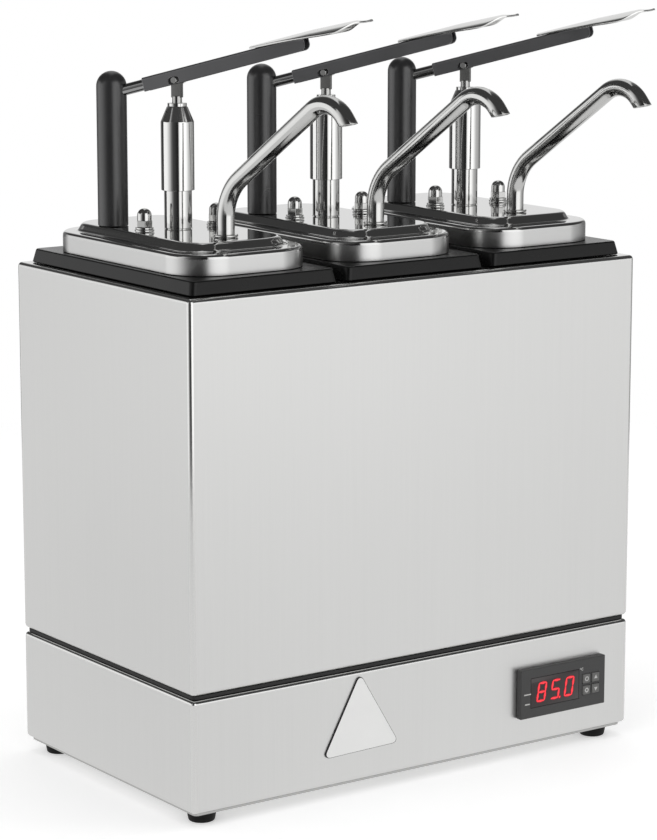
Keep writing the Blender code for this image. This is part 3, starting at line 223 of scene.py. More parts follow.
# Each lamp's place, size and power
LAMPS = {
    "left_softbox": ((-1.5, -0.5, 1.0), 1.4, 7.0),
    "right_softbox": ((1.5, -1.1, 1.1), 1.2, 6.0),
    "top_softbox": ((0.1, 0.1, 1.9), 1.4, 6.0),
}
for name, (place, size, power) in LAMPS.items():
    bpy.ops.object.select_all(action="DESELECT")
    bpy.ops.object.light_add(type="AREA", location=place)
    lamp = bpy.context.object
    lamp.name = name
    lamp.data.size = size
    lamp.data.energy = power
    lamp.rotation_euler = (CAMERA_TARGET - Vector(place)).to_track_quat("-Z", "Y").to_euler()
    lamp.visible_camera = False
    lamp.visible_glossy = False

FLOOR_RADIUS = 1.25
FLOOR_COLOUR = (0.86, 0.86, 0.86)
FLOOR_GLOW = 0.40
FLOOR_MIRRORED = 0.84
bpy.ops.object.select_all(action="DESELECT")
bpy.ops.mesh.primitive_circle_add(
    vertices=64, radius=FLOOR_RADIUS, fill_type="NGON", location=(0, 0, cad_low.z)
)
floor = bpy.context.object
floor.name = "floor"
pale_floor, tree, inner = start_finish("pale_floor", FLOOR_COLOUR, 0.9, 0.0, {"Specular IOR Level": 0.0})
matt = Signal(tree, tree.nodes["Principled BSDF"].outputs[0])
lift = add_node(tree, "LightPath", output="Is Camera Ray") * FLOOR_GLOW
lifted = add_node(tree, "AddShader", None, {0: matt, 1: add_node(tree, "Emission", None, {"Strength": lift})})
even = add_node(tree, "Emission", None, {"Strength": FLOOR_MIRRORED})
in_steel = add_node(tree, "LightPath", output="Is Glossy Ray")
either = add_node(tree, "MixShader", None, {0: in_steel, 1: lifted, 2: even})
feed(tree, tree.nodes["Material Output"].inputs["Surface"], either)
floor.data.materials.append(pale_floor)


# Housing. Two folded boxes of brushed stainless sheet, the grain running up and down,
# with tight folds at every edge. The upper one has three openings for the pans.
FOLD = 3.0 * MM
FOLD_STEPS = 6
FOLD_FADE = 0.3 * MM
FOLD_GLOSS = 0.62
SHEET = 1.5 * MM
SEAM_FLANGE = 12.0 * MM
OPENING_INSET = Vector((10.7 * MM, 15.2 * MM, 0))
OPENING_CORNER = 24.3 * MM
CONTROLLER_LIP = 2.7 * MM
GLAND_HOLE = 7.8 * MM
BRUSHED_COLOUR = (0.82, 0.82, 0.81)
BRUSH_ACROSS = 1600.0
BRUSH_ALONG = 12.0
# How far a cutting tool reaches past what it cuts, and how near counts as the same place
PAST = 5 * MM
NEAR = 0.1 * MM


def noise(tree, stretch, detail=2.0):
    """Noise on the object's own coordinates, stretched alike or along each axis."""
    stretch = stretch if isinstance(stretch, tuple) else (stretch, stretch, stretch)
    place = add_node(tree, "TexCoord", output="Object")
    spread = add_node(tree, "Mapping", None, {"Vector": place, "Scale": stretch})
    inputs = {"Vector": spread, "Scale": 1.0, "Detail": detail}
    return add_node(tree, "TexNoise", {"noise_dimensions": "3D"}, inputs)


def tint(tree, colour, amount, mask):
    """A colour that a mask darkens by an amount."""
    dark = tuple(channel * (1 - amount) for channel in colour)
    inputs = {"Factor": mask, "A": (*dark, 1), "B": (*colour, 1)}
    return add_node(tree, "Mix", {"data_type": "RGBA"}, inputs, 2)


def bump(tree, inner, height, distance, strength):
    """Raise the surface by a height, up to a distance."""
    inputs = {"Height": height, "Distance": distance, "Strength": strength}
    feed(tree, inner["Normal"], add_node(tree, "Bump", None, inputs))


def fold_mask(tree, *nodes):
    """Where boxes with one outline are folded: at their upright corners and along the top."""
    place = add_node(tree, "TexCoord", output="Object")
    across, ahead, height = [add_node(tree, "SeparateXYZ", None, {0: place}, axis) for axis in "XYZ"]
    fade = 1 / FOLD_FADE
    low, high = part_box(nodes[0])
    middle = (low + high) / 2
    flat = (high - low) / 2 - Vector((FOLD, FOLD, FOLD))
    beside = (abs(across - middle.x) - flat.x) * fade
    before = (abs(ahead - middle.y) - flat.y) * fade
    mask = beside.clamp() * before.clamp()
    for node in nodes:
        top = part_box(node)[1].z
        near_top = ((height - (top - FOLD)) * fade).clamp() * ((height - (top + FOLD)) * -fade).clamp()
        mask = mask.math("MAXIMUM", mask, near_top)
    return mask


def brushed_finish(name, colour, along, *folded):
    """Sheet brushed along one axis, with streaks and soft clouds, and smoother at its folds."""
    material, tree, inner = start_finish(name, colour, 0.34, 1.0)
    stretch = tuple(BRUSH_ALONG if axis == along else BRUSH_ACROSS for axis in range(3))
    broader = tuple(size / 3 if axis == along else size / 6 for axis, size in enumerate(stretch))
    grain = noise(tree, stretch, 3.0) * 0.6 + noise(tree, broader) * 0.4
    cloud = noise(tree, (9.0, 9.0, 5.0))
    broad = noise(tree, (2.6, 2.6, 1.6), 0.0)
    shade = grain * 0.35 + cloud * 0.15 + (broad * 2.4 - 0.7) * 0.5
    feed(tree, inner["Base Color"], tint(tree, colour, 0.22, shade.clamp()))
    rough = grain * 0.16 + cloud * 0.08 + 0.24
    if folded:
        left = fold_mask(tree, *folded) * -FOLD_GLOSS + 1
        rough = rough * left
        grain = grain * left
    feed(tree, inner["Roughness"], rough)
    bump(tree, inner, grain, 0.04 * MM, 0.5)
    return material


def at(place, height):
    """The point over or under a place, at a height."""
    return Vector((place[0], place[1], height))


def centre(node):
    """The middle of a solid."""
    low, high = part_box(node)
    return (low + high) / 2


def only(piece):
    """Leave one piece selected and active."""
    bpy.ops.object.select_all(action="DESELECT")
    piece.select_set(True)
    bpy.context.view_layer.objects.active = piece


def settle(name):
    """Name the new piece and keep its place and size in its mesh."""
    made = bpy.context.object
    made.name = made.data.name = name
    bpy.ops.object.transform_apply(location=True, rotation=True, scale=True)
    return made


def block(name, low, high):
    """A cube stretched between two corners."""
    low, high = Vector(low), Vector(high)
    bpy.ops.object.select_all(action="DESELECT")
    bpy.ops.mesh.primitive_cube_add(size=1, location=(low + high) / 2, scale=high - low)
    return settle(name)


def cylinder(name, start, end, radius, sides=32):
    """A cylinder between two points."""
    start, end = Vector(start), Vector(end)
    bpy.ops.object.select_all(action="DESELECT")
    bpy.ops.mesh.primitive_cylinder_add(
        vertices=sides,
        radius=radius,
        depth=(end - start).length,
        location=(start + end) / 2,
        rotation=(end - start).to_track_quat("Z", "Y").to_euler(),
    )
    return settle(name)


def pick(piece, kind, test=None):
    """Open a piece for editing, and select what passes a test, or all."""
    if piece.mode != "EDIT":
        only(piece)
        bpy.ops.object.mode_set(mode="EDIT")
    bpy.ops.mesh.select_mode(type=kind)
    bpy.ops.mesh.select_all(action="DESELECT")
    shape = bmesh.from_edit_mesh(piece.data)
    for item in {"VERT": shape.verts, "EDGE": shape.edges, "FACE": shape.faces}[kind]:
        if test is None or test(item):
            item.select_set(True)
    bmesh.update_edit_mesh(piece.data)


def close(piece):
    """Leave edit mode."""
    bpy.ops.object.mode_set(mode="OBJECT")
    return piece


def round_picked(radius, steps):
    """Round the edges that are picked."""
    bpy.ops.mesh.bevel(offset=radius, segments=steps, affect="EDGES")


def upright(edge):
    """Whether an edge runs straight up."""
    run = edge.verts[1].co - edge.verts[0].co
    return abs(run.z) > 0.999 * run.length


def apply_all(piece):
    """Apply the modifiers of a piece."""
    only(piece)
    for step in list(piece.modifiers):
        bpy.ops.object.modifier_apply(modifier=step.name)
    return piece


def solidify(piece, thickness, even=True):
    """Give an open skin its wall, on the inside."""
    step = piece.modifiers.new("Wall", "SOLIDIFY")
    step.thickness = thickness
    step.offset = -1
    step.use_even_offset = even
    return apply_all(piece)


def soften(piece, width, steps=3, angle=30.0):
    """Round the sharp edges of a piece."""
    step = piece.modifiers.new("Soft edges", "BEVEL")
    step.width = width
    step.segments = steps
    step.limit_method = "ANGLE"
    step.angle_limit = math.radians(angle)
    return apply_all(piece)


def cut(piece, tool, operation="DIFFERENCE"):
    """Cut a tool out of a piece, or join it on with UNION, and remove the tool."""
    step = piece.modifiers.new("Cut", "BOOLEAN")
    step.operation = operation
    step.object = tool
    apply_all(piece)
    bpy.data.objects.remove(tool, do_unlink=True)
    return piece


def smooth(piece, angle=40.0):
    """Shade a piece smooth, up to an angle between its faces."""
    only(piece)
    bpy.ops.object.shade_smooth_by_angle(angle=math.radians(angle))
    return piece


def smooth_flat(piece):
    """Shade a piece smooth, and keep its broad faces flat beside small rounded edges."""
    step = smooth(piece).modifiers.new("Flat faces", "WEIGHTED_NORMAL")
    step.weight = 80
    step.keep_sharp = True
    return apply_all(piece)


def rounded_block(name, low, high, radius, steps):
    """A block with its upright edges rounded."""
    made = block(name, low, high)
    pick(made, "EDGE", upright)
    round_picked(radius, steps)
    return close(made)


def folded_box(name, node):
    """An empty box of sheet with folded edges and a flange around its open floor."""
    box = block(name, *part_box(node))
    pick(box, "EDGE")
    round_picked(FOLD, FOLD_STEPS)
    pick(box, "FACE", lambda face: face.normal.z < -0.99)
    bpy.ops.mesh.inset(thickness=SEAM_FLANGE - FOLD)
    bpy.ops.mesh.delete(type="FACE")
    return solidify(close(box), SHEET)


def dress(piece, material, body, slot_name, *nodes):
    """Give a finished piece its material and body, in place of its nodes. The slot name is not used."""
    piece.data.materials.clear()
    piece.data.materials.append(material)
    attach(piece, body)
    if nodes:
        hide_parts(*nodes)
    return piece


housing_steel = brushed_finish("housing_steel", BRUSHED_COLOUR, 2, "housing_upper", "housing_base")
upper = folded_box("upper_casing", "housing_upper")
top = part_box("housing_upper")[1].z
for station in (1, 2, 3):
    low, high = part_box(f"collar_{station}")
    hole_low = at(low, top - PAST) + OPENING_INSET
    hole_high = at(high, top + PAST) - OPENING_INSET
    cut(upper, rounded_block("pan_opening", hole_low, hole_high, OPENING_CORNER, 10))
dress(smooth_flat(upper), housing_steel, "housing", "brushed_steel", "housing_upper")

base = folded_box("base_casing", "housing_base")
base_low, base_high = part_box("housing_base")
low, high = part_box("controller_case")
hole_low = (low.x + CONTROLLER_LIP, base_low.y - PAST, low.z + CONTROLLER_LIP)
hole_high = (high.x - CONTROLLER_LIP, base_low.y + PAST, high.z - CONTROLLER_LIP)
cut(base, block("controller_opening", hole_low, hole_high))
gland_place = centre("cable_gland")
gland_place.y = base_high.y
through = Vector((0, 2 * PAST, 0))
cut(base, cylinder("gland_opening", gland_place - through, gland_place + through, GLAND_HOLE))
dress(smooth_flat(base), housing_steel, "housing", "brushed_steel", "housing_base")


# Seam and bottom. A black plastic plate keeps the heat off the controls, and its edge
# is the dark line round the housing. A steel plate, screwed on, closes the base.
SEAM_CORNER = 3.0 * MM
WIRE_HOLE = 8.0 * MM
PLATE_EDGE = 0.4 * MM
SCREW_HEIGHT = 1.2 * MM
SCREW_RADIUS = 3.0 * MM
SCREW_INSET = 8.0 * MM
SCREW_EDGE = 0.5 * MM


def plastic_finish(name, colour, roughness, grain=900.0, gloss=0.5):
    """Moulded or turned plastic, with a fine texture and slightly uneven gloss."""
    material, tree, inner = start_finish(name, colour, roughness, 0.0, {"Specular IOR Level": gloss})
    texture = noise(tree, grain, 3.0)
    feed(tree, inner["Base Color"], tint(tree, colour, 0.25, texture))
    feed(tree, inner["Roughness"], noise(tree, 30.0) * 0.12 + (roughness - 0.06))
    bump(tree, inner, texture, 0.05 * MM, 0.3)
    return material


def rod(name, place, low, high, radius, sides=32):
    """An upright cylinder at a place, between two heights."""
    return cylinder(name, at(place, low), at(place, high), radius, sides)


def join(piece, *others):
    """Put several pieces in one object."""
    only(piece)
    for other in others:
        other.select_set(True)
    bpy.ops.object.join()
    return piece


seam_plastic = plastic_finish("seam_plastic", (0.012, 0.012, 0.012), 0.6)
low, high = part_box("divider")
seam = rounded_block("seam_plate", low, high, SEAM_CORNER, 4)
cut(seam, rod("wire_hole", centre("divider"), low.z - PAST, high.z + PAST, WIRE_HOLE))
dress(smooth_flat(seam), seam_plastic, "housing", "black_plastic", "divider")

low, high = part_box("bottom_plate")
head_z = low.z
low = at(low, head_z + SCREW_HEIGHT)
middle = (low + high) / 2
plate = soften(rounded_block("base_plate", low, high, SEAM_CORNER, 4), PLATE_EDGE, 2)
screws = []
for place in (
    (middle.x, low.y + SCREW_INSET),
    (middle.x, high.y - SCREW_INSET),
    (low.x + SCREW_INSET, middle.y),
    (high.x - SCREW_INSET, middle.y),
):
    screws.append(soften(rod("plate_screw", place, head_z, middle.z, SCREW_RADIUS, 24), SCREW_EDGE))
plate_steel = brushed_finish("plate_steel", (0.55, 0.55, 0.54), 0)
dress(smooth_flat(join(plate, *screws)), plate_steel, "housing", "brushed_steel", "bottom_plate")

# Feet. Four round feet of black rubber, one under each corner of the base. Each is
# wider at the top, has a rounded sole and is held by a screw from inside.
SOLE_SHARE = 0.86
FOOT_EDGE = 1.1 * MM
rubber = plastic_finish("foot_rubber", (0.005, 0.005, 0.005), 0.62, 500.0, 0.2)
for corner in ("front_left", "front_right", "rear_left", "rear_right"):
    low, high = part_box(f"foot_{corner}")
    place = (low + high) / 2
    foot = rod(f"rubber_{corner}", place, low.z, high.z, (high.x - low.x) / 2, 48)
    pick(foot, "VERT", lambda vertex: vertex.co.z < place.z)
    bpy.ops.transform.resize(value=(SOLE_SHARE, SOLE_SHARE, 1), center_override=place)
    soften(close(foot), FOOT_EDGE, 4)
    dress(smooth_flat(foot), rubber, "housing", "rubber", f"foot_{corner}")

# Controller. A black moulded bezel clipped into the base, with a tinted window over
# a red three-digit display, and its body behind, inside the base.
BEZEL_THICKNESS = 5.0 * MM
BEZEL_CORNER = 0.5 * MM
BEZEL_EDGE = 1.1 * MM
BODY_OVERLAP = 1.6 * MM
BODY_MARGIN = 3.0 * MM
BODY_EDGE = 1.0 * MM
WINDOW_EDGE = 0.2 * MM
WELL_DEPTH = 2.8 * MM
CLEARANCE = 0.3 * MM
bezel_plastic = plastic_finish("bezel_plastic", (0.055, 0.055, 0.055), 0.42, 1400.0)
case_low, case_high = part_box("controller_case")
face_y = case_low.y
bezel_back = face_y + BEZEL_THICKNESS
case = rounded_block("controller", case_low, (case_high.x, bezel_back, case_high.z), BEZEL_CORNER, 2)
soften(case, BEZEL_EDGE, 4)
margin = Vector((BODY_MARGIN, 0, BODY_MARGIN))
body_low = Vector((case_low.x, bezel_back - BODY_OVERLAP, case_low.z)) + margin
join(case, soften(block("controller_body", body_low, case_high - margin), BODY_EDGE))
window_low, window_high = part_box("display_window")
gap = Vector((CLEARANCE, CLEARANCE, CLEARANCE))
cut(case, block("window_pocket", window_low - gap - Vector((0, PAST, 0)), window_high + gap))
for number in (1, 2, 3, 4):
    low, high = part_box(f"button_{number}")
    well_low = (low.x - CLEARANCE, face_y - PAST, low.z - CLEARANCE)
    well_high = (high.x + CLEARANCE, face_y + WELL_DEPTH, high.z + CLEARANCE)
    cut(case, block("button_well", well_low, well_high))
dress(smooth_flat(case), bezel_plastic, "housing", "black_plastic", "controller_case")

window_tint, tree, inner = start_finish("window_tint", (0.012, 0.002, 0.003), 0.12, 0.0, {"Coat Weight": 0.4})
feed(tree, inner["Roughness"], noise(tree, 40.0) * 0.08 + 0.08)
window = soften(block("window", window_low, window_high), WINDOW_EDGE, 2)
dress(smooth(window), window_tint, "housing", "display_black", "display_window")

# Display. Up to seven lit red bars make each digit, with a decimal point after the
# second, and a faint red halo lies round them on the tinted window.
READING = "850"
READING_INSET = Vector((5.3, 0, 4.0)) * MM
DIGIT_HEIGHT = 12.6 * MM
DIGIT_WIDTH = 6.4 * MM
DIGIT_PITCH = 12.3 * MM
DIGIT_STROKE = 1.25 * MM
DIGIT_SLANT = math.tan(math.radians(9))
DIGIT_GAP = 0.25 * MM
DIGIT_DEPTH = 0.12 * MM
POINT_GAP = 1.5 * MM
POINT_SHARE = 0.55
HALO_SHARE = 2.1
LIT_BARS = {"8": "abcdefg", "5": "acdfg", "0": "abcdef"}
UPRIGHT_BARS = "bcef"
# Each bar's middle, as shares of the digit's width and height
BAR_SHARES = {
    "a": (0.5, 1.0),
    "b": (1.0, 0.75),
    "c": (1.0, 0.25),
    "d": (0.5, 0.0),
    "e": (0.0, 0.25),
    "f": (0.0, 0.75),
    "g": (0.5, 0.5),
}


def place_at(piece, matrix):
    """Put a piece that was modelled at the origin in its place."""
    piece.data.transform(matrix)
    return piece


def digit(name, figure, origin, stroke, depth):
    """The lit bars of a digit, from its lower left corner: flat strips with pointed ends."""
    bars = []
    for letter in LIT_BARS[figure]:
        across, up = BAR_SHARES[letter]
        stands = letter in UPRIGHT_BARS
        length = (DIGIT_HEIGHT / 2 if stands else DIGIT_WIDTH) - DIGIT_GAP
        bar = cylinder(f"{name}_{letter}", (0, 0, 0), (0, 0, depth), stroke / math.sqrt(3), 6)
        for side in (1, -1):
            pick(bar, "VERT", lambda vertex: vertex.co.x * side > stroke * 0.3)
            bpy.ops.transform.translate(value=((length - stroke) / 2 * side, 0, 0))
        turned_up = Matrix.Rotation(math.pi / 2 if stands else 0, 4, "Y")
        turned_up = turned_up @ Matrix.Rotation(math.pi / 2, 4, "X")
        middle = origin + Vector((across * DIGIT_WIDTH, 0, up * DIGIT_HEIGHT))
        bars.append(place_at(close(bar), Matrix.Translation(middle) @ turned_up))
    return join(*bars)


glow = {"Emission Color": (1.0, 0.045, 0.06, 1), "Emission Strength": 1.0}
glow_red = start_finish("display_glow", (0.5, 0.01, 0.015), 0.5, 0.0, glow)[0]
glow = {"Emission Color": (0.20, 0.002, 0.012, 1), "Emission Strength": 0.6}
halo_red = start_finish("display_halo", (0.10, 0.002, 0.008), 0.5, 0.0, glow)[0]
reading_low = window_low + READING_INSET
for red, name, stroke, lift in (
    (halo_red, "reading_halo", DIGIT_STROKE * HALO_SHARE, DIGIT_DEPTH / 2),
    (glow_red, "reading", DIGIT_STROKE, DIGIT_DEPTH),
):
    digits = []
    for place, figure in enumerate(READING):
        origin = reading_low + Vector((place * DIGIT_PITCH, 0, 0))
        digits.append(digit(f"{name}_{place}", figure, origin, stroke, lift))
    point = reading_low + Vector((DIGIT_PITCH + DIGIT_WIDTH + POINT_GAP, 0, 0))
    digits.append(cylinder("decimal_point", point, point - Vector((0, lift, 0)), stroke * POINT_SHARE, 16))
    reading = join(*digits)
    reading.name = name
    for vertex in reading.data.vertices:
        vertex.co.x += (vertex.co.z - reading_low.z) * DIGIT_SLANT
    dress(reading, red, "housing", "display_black")

# Buttons. Four grey moulded caps in wells of the bezel. Each is pushed in against a
# small spring behind it.
CAP_EDGE = 0.6 * MM
button_plastic = plastic_finish("button_plastic", (0.17, 0.17, 0.165), 0.5, 1400.0)
for number in (1, 2, 3, 4):
    cap = soften(block(f"cap_{number}", *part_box(f"button_{number}")), CAP_EDGE)
    dress(smooth_flat(cap), button_plastic, f"button_{number}_cap", "button_grey", f"button_{number}")

# Prints. White signs printed on the plastic: arrows on the two right buttons, a ring
# on each of the left two, and two plain marks and a degree sign with its letter, an
# open ring, on the bezel.
PRINT_DEPTH = 0.06 * MM
SIGN_RADIUS = 1.7 * MM
# Each sign's sides, turn and hole, as a share of its radius
SIGNS = ((24, 0.0, 0.6), (3, 0.0, 0.0), (24, 0.0, 0.5), (3, math.pi, 0.0))
# Each mark's height on the bezel and its length
MARKS = ((17.2 * MM, 6.0 * MM), (10.2 * MM, 4.4 * MM))
MARK_INSET = 5.6 * MM
MARK_WIDTH = 0.9 * MM
DEGREE_RADIUS = 0.55 * MM
DEGREE_OFFSET = Vector((1.6, 0, 0.2)) * MM
LETTER_RADIUS = 1.0 * MM
LETTER_OFFSET = Vector((1.7, 0, -0.5)) * MM
LETTER_SHARE = 0.62
LETTER_GAP = 1.0 * MM
LETTER_GAP_START = 0.3 * MM
print_white = plastic_finish("print_white", (0.72, 0.72, 0.70), 0.6)


def printed(name, place, radius, sides, spin=0.0, hole=0.0):
    """A thin raised print that faces forwards: a disc, a triangle or a ring."""
    depth = Vector((0, PRINT_DEPTH, 0))
    made = cylinder(name, place + depth, place - depth, radius, sides)
    if hole:
        cut(made, cylinder("print_hole", place + depth * 5, place - depth * 5, radius * hole, sides))
    pick(made, "VERT")
    bpy.ops.transform.rotate(value=spin, orient_axis="Y", center_override=place)
    return close(made)


for number, (sides, spin, hole) in enumerate(SIGNS, 1):
    face = centre(f"button_{number}")
    face.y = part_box(f"button_{number}")[0].y
    sign = printed(f"sign_{number}", face, SIGN_RADIUS, sides, spin, hole)
    dress(sign, print_white, f"button_{number}_cap", "button_grey")
marks = []
for height, length in MARKS:
    place = Vector((case_low.x + MARK_INSET, face_y, case_low.z + height))
    half = Vector((length / 2, PRINT_DEPTH, MARK_WIDTH / 2))
    marks.append(block("mark", place - half, place + half))
degree = Vector((window_high.x, face_y, window_high.z)) + DEGREE_OFFSET
marks.append(printed("degree", degree, DEGREE_RADIUS, 16, 0.0, 0.5))
letter_place = degree + LETTER_OFFSET
letter = printed("unit_letter", letter_place, LETTER_RADIUS, 24, 0.0, LETTER_SHARE)
gap_low = letter_place + Vector((LETTER_GAP_START, -PAST, -LETTER_GAP / 2))
cut(letter, block("letter_gap", gap_low, gap_low + Vector((LETTER_RADIUS * 2, PAST * 2, LETTER_GAP))))
bezel_prints = join(*marks, letter)
bezel_prints.name = bezel_prints.data.name = "bezel_prints"
dress(bezel_prints, print_white, "housing", "button_grey")

# Badge. A black plastic plate, a triangle with rounded corners, glued on the base. A
# blank foil of white-lacquered metal covers its face up to a narrow rim.
BADGE_MIDDLE = Vector((-0.0606, 0, 0.0482))
BADGE_RADIUS = 35.8 * MM
BADGE_ROUND = 5.5 * MM
BADGE_THICKNESS = 1.1 * MM
BADGE_RIM = 0.35 * MM
BADGE_FOIL = 0.1 * MM
BADGE_EDGE = 0.15 * MM
BADGE_TILT = math.radians(1.3)
BADGE_WHITE = (0.97, 0.97, 0.96)


def least(item, axis):
    """The least place of an edge or face along an axis."""
    return min(vertex.co[axis] for vertex in item.verts)


def most(item, axis):
    """The greatest place of an edge or face along an axis."""
    return max(vertex.co[axis] for vertex in item.verts)


def rounded_triangle(name, back, front, radius, corner):
    """An upright triangular plate with rounded corners, between two depths."""
    ahead = Vector((0, 1, 0))
    plate = cylinder(name, BADGE_MIDDLE + ahead * back, BADGE_MIDDLE + ahead * front, radius, 3)
    pick(plate, "EDGE", lambda edge: most(edge, 1) - least(edge, 1) > abs(back - front) / 2)
    round_picked(corner, 8)
    bpy.ops.mesh.select_all(action="SELECT")
    bpy.ops.transform.rotate(value=BADGE_TILT, orient_axis="Y", center_override=BADGE_MIDDLE)
    return close(plate)


badge_black = plastic_finish("badge_black", (0.012, 0.012, 0.012), 0.4)
badge_white, tree, inner = start_finish("badge_white", BADGE_WHITE, 0.3, 0.6)
cloud = noise(tree, 60.0)
feed(tree, inner["Base Color"], tint(tree, BADGE_WHITE, 0.05, cloud))
feed(tree, inner["Roughness"], cloud * 0.06 + 0.27)
bump(tree, inner, noise(tree, 900.0, 3.0), 0.02 * MM, 0.2)
face = base_low.y - BADGE_THICKNESS
badge = rounded_triangle("badge", base_low.y, face, BADGE_RADIUS, BADGE_ROUND)
dress(smooth_flat(soften(badge, BADGE_EDGE, 2)), badge_black, "housing", "black_plastic")
foil_radius = BADGE_RADIUS - BADGE_RIM * 2
foil = rounded_triangle("badge_foil", face, face - BADGE_FOIL, foil_radius, BADGE_ROUND - BADGE_RIM)
dress(smooth_flat(foil), badge_white, "housing", "button_grey")

# Gland. A black plastic cable gland in the back of the base: a six-sided flange on a
# thread, and a round cap drawn in towards the hole for the cord.
GLAND_BORE = 4.0 * MM
GLAND_NOSE = 5.6 * MM
GLAND_NOSE_LENGTH = 4.0 * MM
GLAND_CAP = 8.5 * MM
GLAND_CAP_EDGE = 0.8 * MM
GLAND_FLANGE = 5.0 * MM
GLAND_FLANGE_EDGE = 0.5 * MM
GLAND_SINK = 0.5 * MM
GLAND_THREAD = 7.5 * MM
GLAND_GRIP = 0.1 * MM
MERGE = 0.005 * MM


def heal():
    """Merge the doubles that a spin leaves, and turn all faces outwards."""
    bpy.ops.mesh.select_all(action="SELECT")
    bpy.ops.mesh.remove_doubles(threshold=MERGE)
    bpy.ops.mesh.normals_make_consistent(inside=False)


def turned(name, foot, profile, steps=64, ring=False):
    """A piece turned about an upright axis, from (radius, height over the foot) points."""
    foot = Vector(foot)
    points = [foot + Vector((radius, 0, height)) for radius, height in profile]
    if ring:
        points.append(points[0])
    bpy.ops.object.select_all(action="DESELECT")
    bpy.ops.mesh.primitive_plane_add(size=1 * MM, location=points[0])
    made = settle(name)
    pick(made, "VERT")
    bpy.ops.mesh.merge(type="CENTER")
    for before, after in zip(points, points[1:]):
        bpy.ops.mesh.extrude_vertices_move(TRANSFORM_OT_translate={"value": after - before})
    pick(made, "EDGE")
    bpy.ops.mesh.spin(steps=steps, angle=math.tau, center=foot, axis=(0, 0, 1))
    heal()
    return close(made)


gland_plastic = plastic_finish("gland_plastic", (0.02, 0.02, 0.02), 0.45)
low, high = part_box("cable_gland")
outer = high.y - base_high.y
inner_end = low.y - base_high.y
profile = [
    (GLAND_BORE, outer),
    (GLAND_NOSE, outer),
    (GLAND_CAP, outer - GLAND_NOSE_LENGTH),
    (GLAND_CAP, GLAND_FLANGE - GLAND_SINK),
    (GLAND_THREAD, GLAND_FLANGE - GLAND_SINK),
    (GLAND_THREAD, inner_end),
    (GLAND_BORE, inner_end),
]
gland = soften(turned("gland", (0, 0, 0), profile, 48, True), GLAND_CAP_EDGE, 4)
flange = rod("gland_flange", (0, 0), CLEARANCE, GLAND_FLANGE, (high.x - low.x) / 2, 6)
cut(flange, rod("flange_hole", (0, 0), -PAST, GLAND_FLANGE + PAST, GLAND_THREAD - GLAND_GRIP, 48))
join(gland, soften(flange, GLAND_FLANGE_EDGE))
backwards = Vector((0, 1, 0)).to_track_quat("Z", "Y").to_matrix().to_4x4()
place_at(gland, Matrix.Translation(gland_place) @ backwards)
dress(smooth_flat(gland), gland_plastic, "housing", "black_plastic", "cable_gland")


# Tank and heater. The tank, of plain stainless sheet, holds the hot water round the
# pans. The flat heater is clamped under it. Both are out of sight in the housing.
def sheet_finish(name, colour, roughness, wear=0.08, scuffs=0.3):
    """Plain rolled stainless sheet, with soft clouds and faint scuffs."""
    material, tree, inner = start_finish(name, colour, roughness, 1.0)
    cloud = noise(tree, 14.0)
    scuff = noise(tree, (240.0, 240.0, 60.0), 4.0)
    feed(tree, inner["Base Color"], tint(tree, colour, wear, cloud))
    feed(tree, inner["Roughness"], cloud * 0.10 + scuff * 0.08 + (roughness - 0.09))
    bump(tree, inner, scuff, 0.02 * MM, scuffs)
    return material


tank_steel = sheet_finish("tank_steel", (0.55, 0.55, 0.54), 0.34)
for name in ("tank", "heater"):
    node = frame["nodes"][name]
    node.data.materials.clear()
    node.data.materials.append(tank_steel)

# Collars. Black moulded frames around the openings, drawn in towards the top, with a
# lip that hangs into the housing. The three stations are alike from here on.
COLLAR_HEIGHT = 9.2 * MM
COLLAR_CORNER = 4.0 * MM
COLLAR_DRAFT = 2.0 * MM
COLLAR_LIP = 2.0 * MM
COLLAR_LIP_DROP = 1.0 * MM
COLLAR_MOUTH = 2.3 * MM
COLLAR_EDGE = 1.0 * MM
MOUTH_REACH = 8.0 * MM


def repeat(piece, name, material, body, slot_name, *nodes):
    """Dress the first station's piece and copies of it at the others.

    Names of the body and nodes carry a {} where the station's number goes."""
    for number in (2, 3, 1):
        made = piece
        if number > 1:
            made = piece.copy()
            made.data = piece.data.copy()
            bpy.context.collection.objects.link(made)
            place_at(made, Matrix.Translation(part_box(f"lid_{number}")[0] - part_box("lid_1")[0]))
        made.name = made.data.name = f"{name}_{number}"
        dress(made, material, body.format(number), slot_name, *(node.format(number) for node in nodes))


def grow_picked(by, place, width, length):
    """Grow what is picked on all four sides, about a place."""
    value = (1 + 2 * by / width, 1 + 2 * by / length, 1)
    bpy.ops.transform.resize(value=value, center_override=place)


collar_plastic = plastic_finish("collar_plastic", (0.006, 0.006, 0.006), 0.28, 700.0, 0.3)
low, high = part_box("collar_1")
seat = high.z - COLLAR_HEIGHT
collar = rounded_block("collar", at(low, seat), high, COLLAR_CORNER, 6)
pick(collar, "VERT", lambda vertex: vertex.co.z > high.z - NEAR)
grow_picked(-COLLAR_DRAFT, centre("collar_1"), high.x - low.x, high.y - low.y)
close(collar)
margin = Vector((COLLAR_MOUTH, COLLAR_MOUTH, 0))
mouth_low = low + OPENING_INSET + margin
mouth_high = high - OPENING_INSET - margin
lip = Vector((COLLAR_LIP, COLLAR_LIP, 0))
lip_top = at(mouth_high, high.z - COLLAR_LIP_DROP)
cut(collar, rounded_block("collar_lip", mouth_low - lip, lip_top + lip, OPENING_CORNER, 10), "UNION")
mouth_low = at(mouth_low, seat - MOUTH_REACH)
mouth_high = at(mouth_high, high.z + MOUTH_REACH)
cut(collar, rounded_block("collar_mouth", mouth_low, mouth_high, OPENING_CORNER - COLLAR_LIP, 10))
soften(collar, COLLAR_EDGE, 4, 40.0)
repeat(smooth_flat(collar), "collar_frame", collar_plastic, "housing", "black_plastic", "collar_{}")

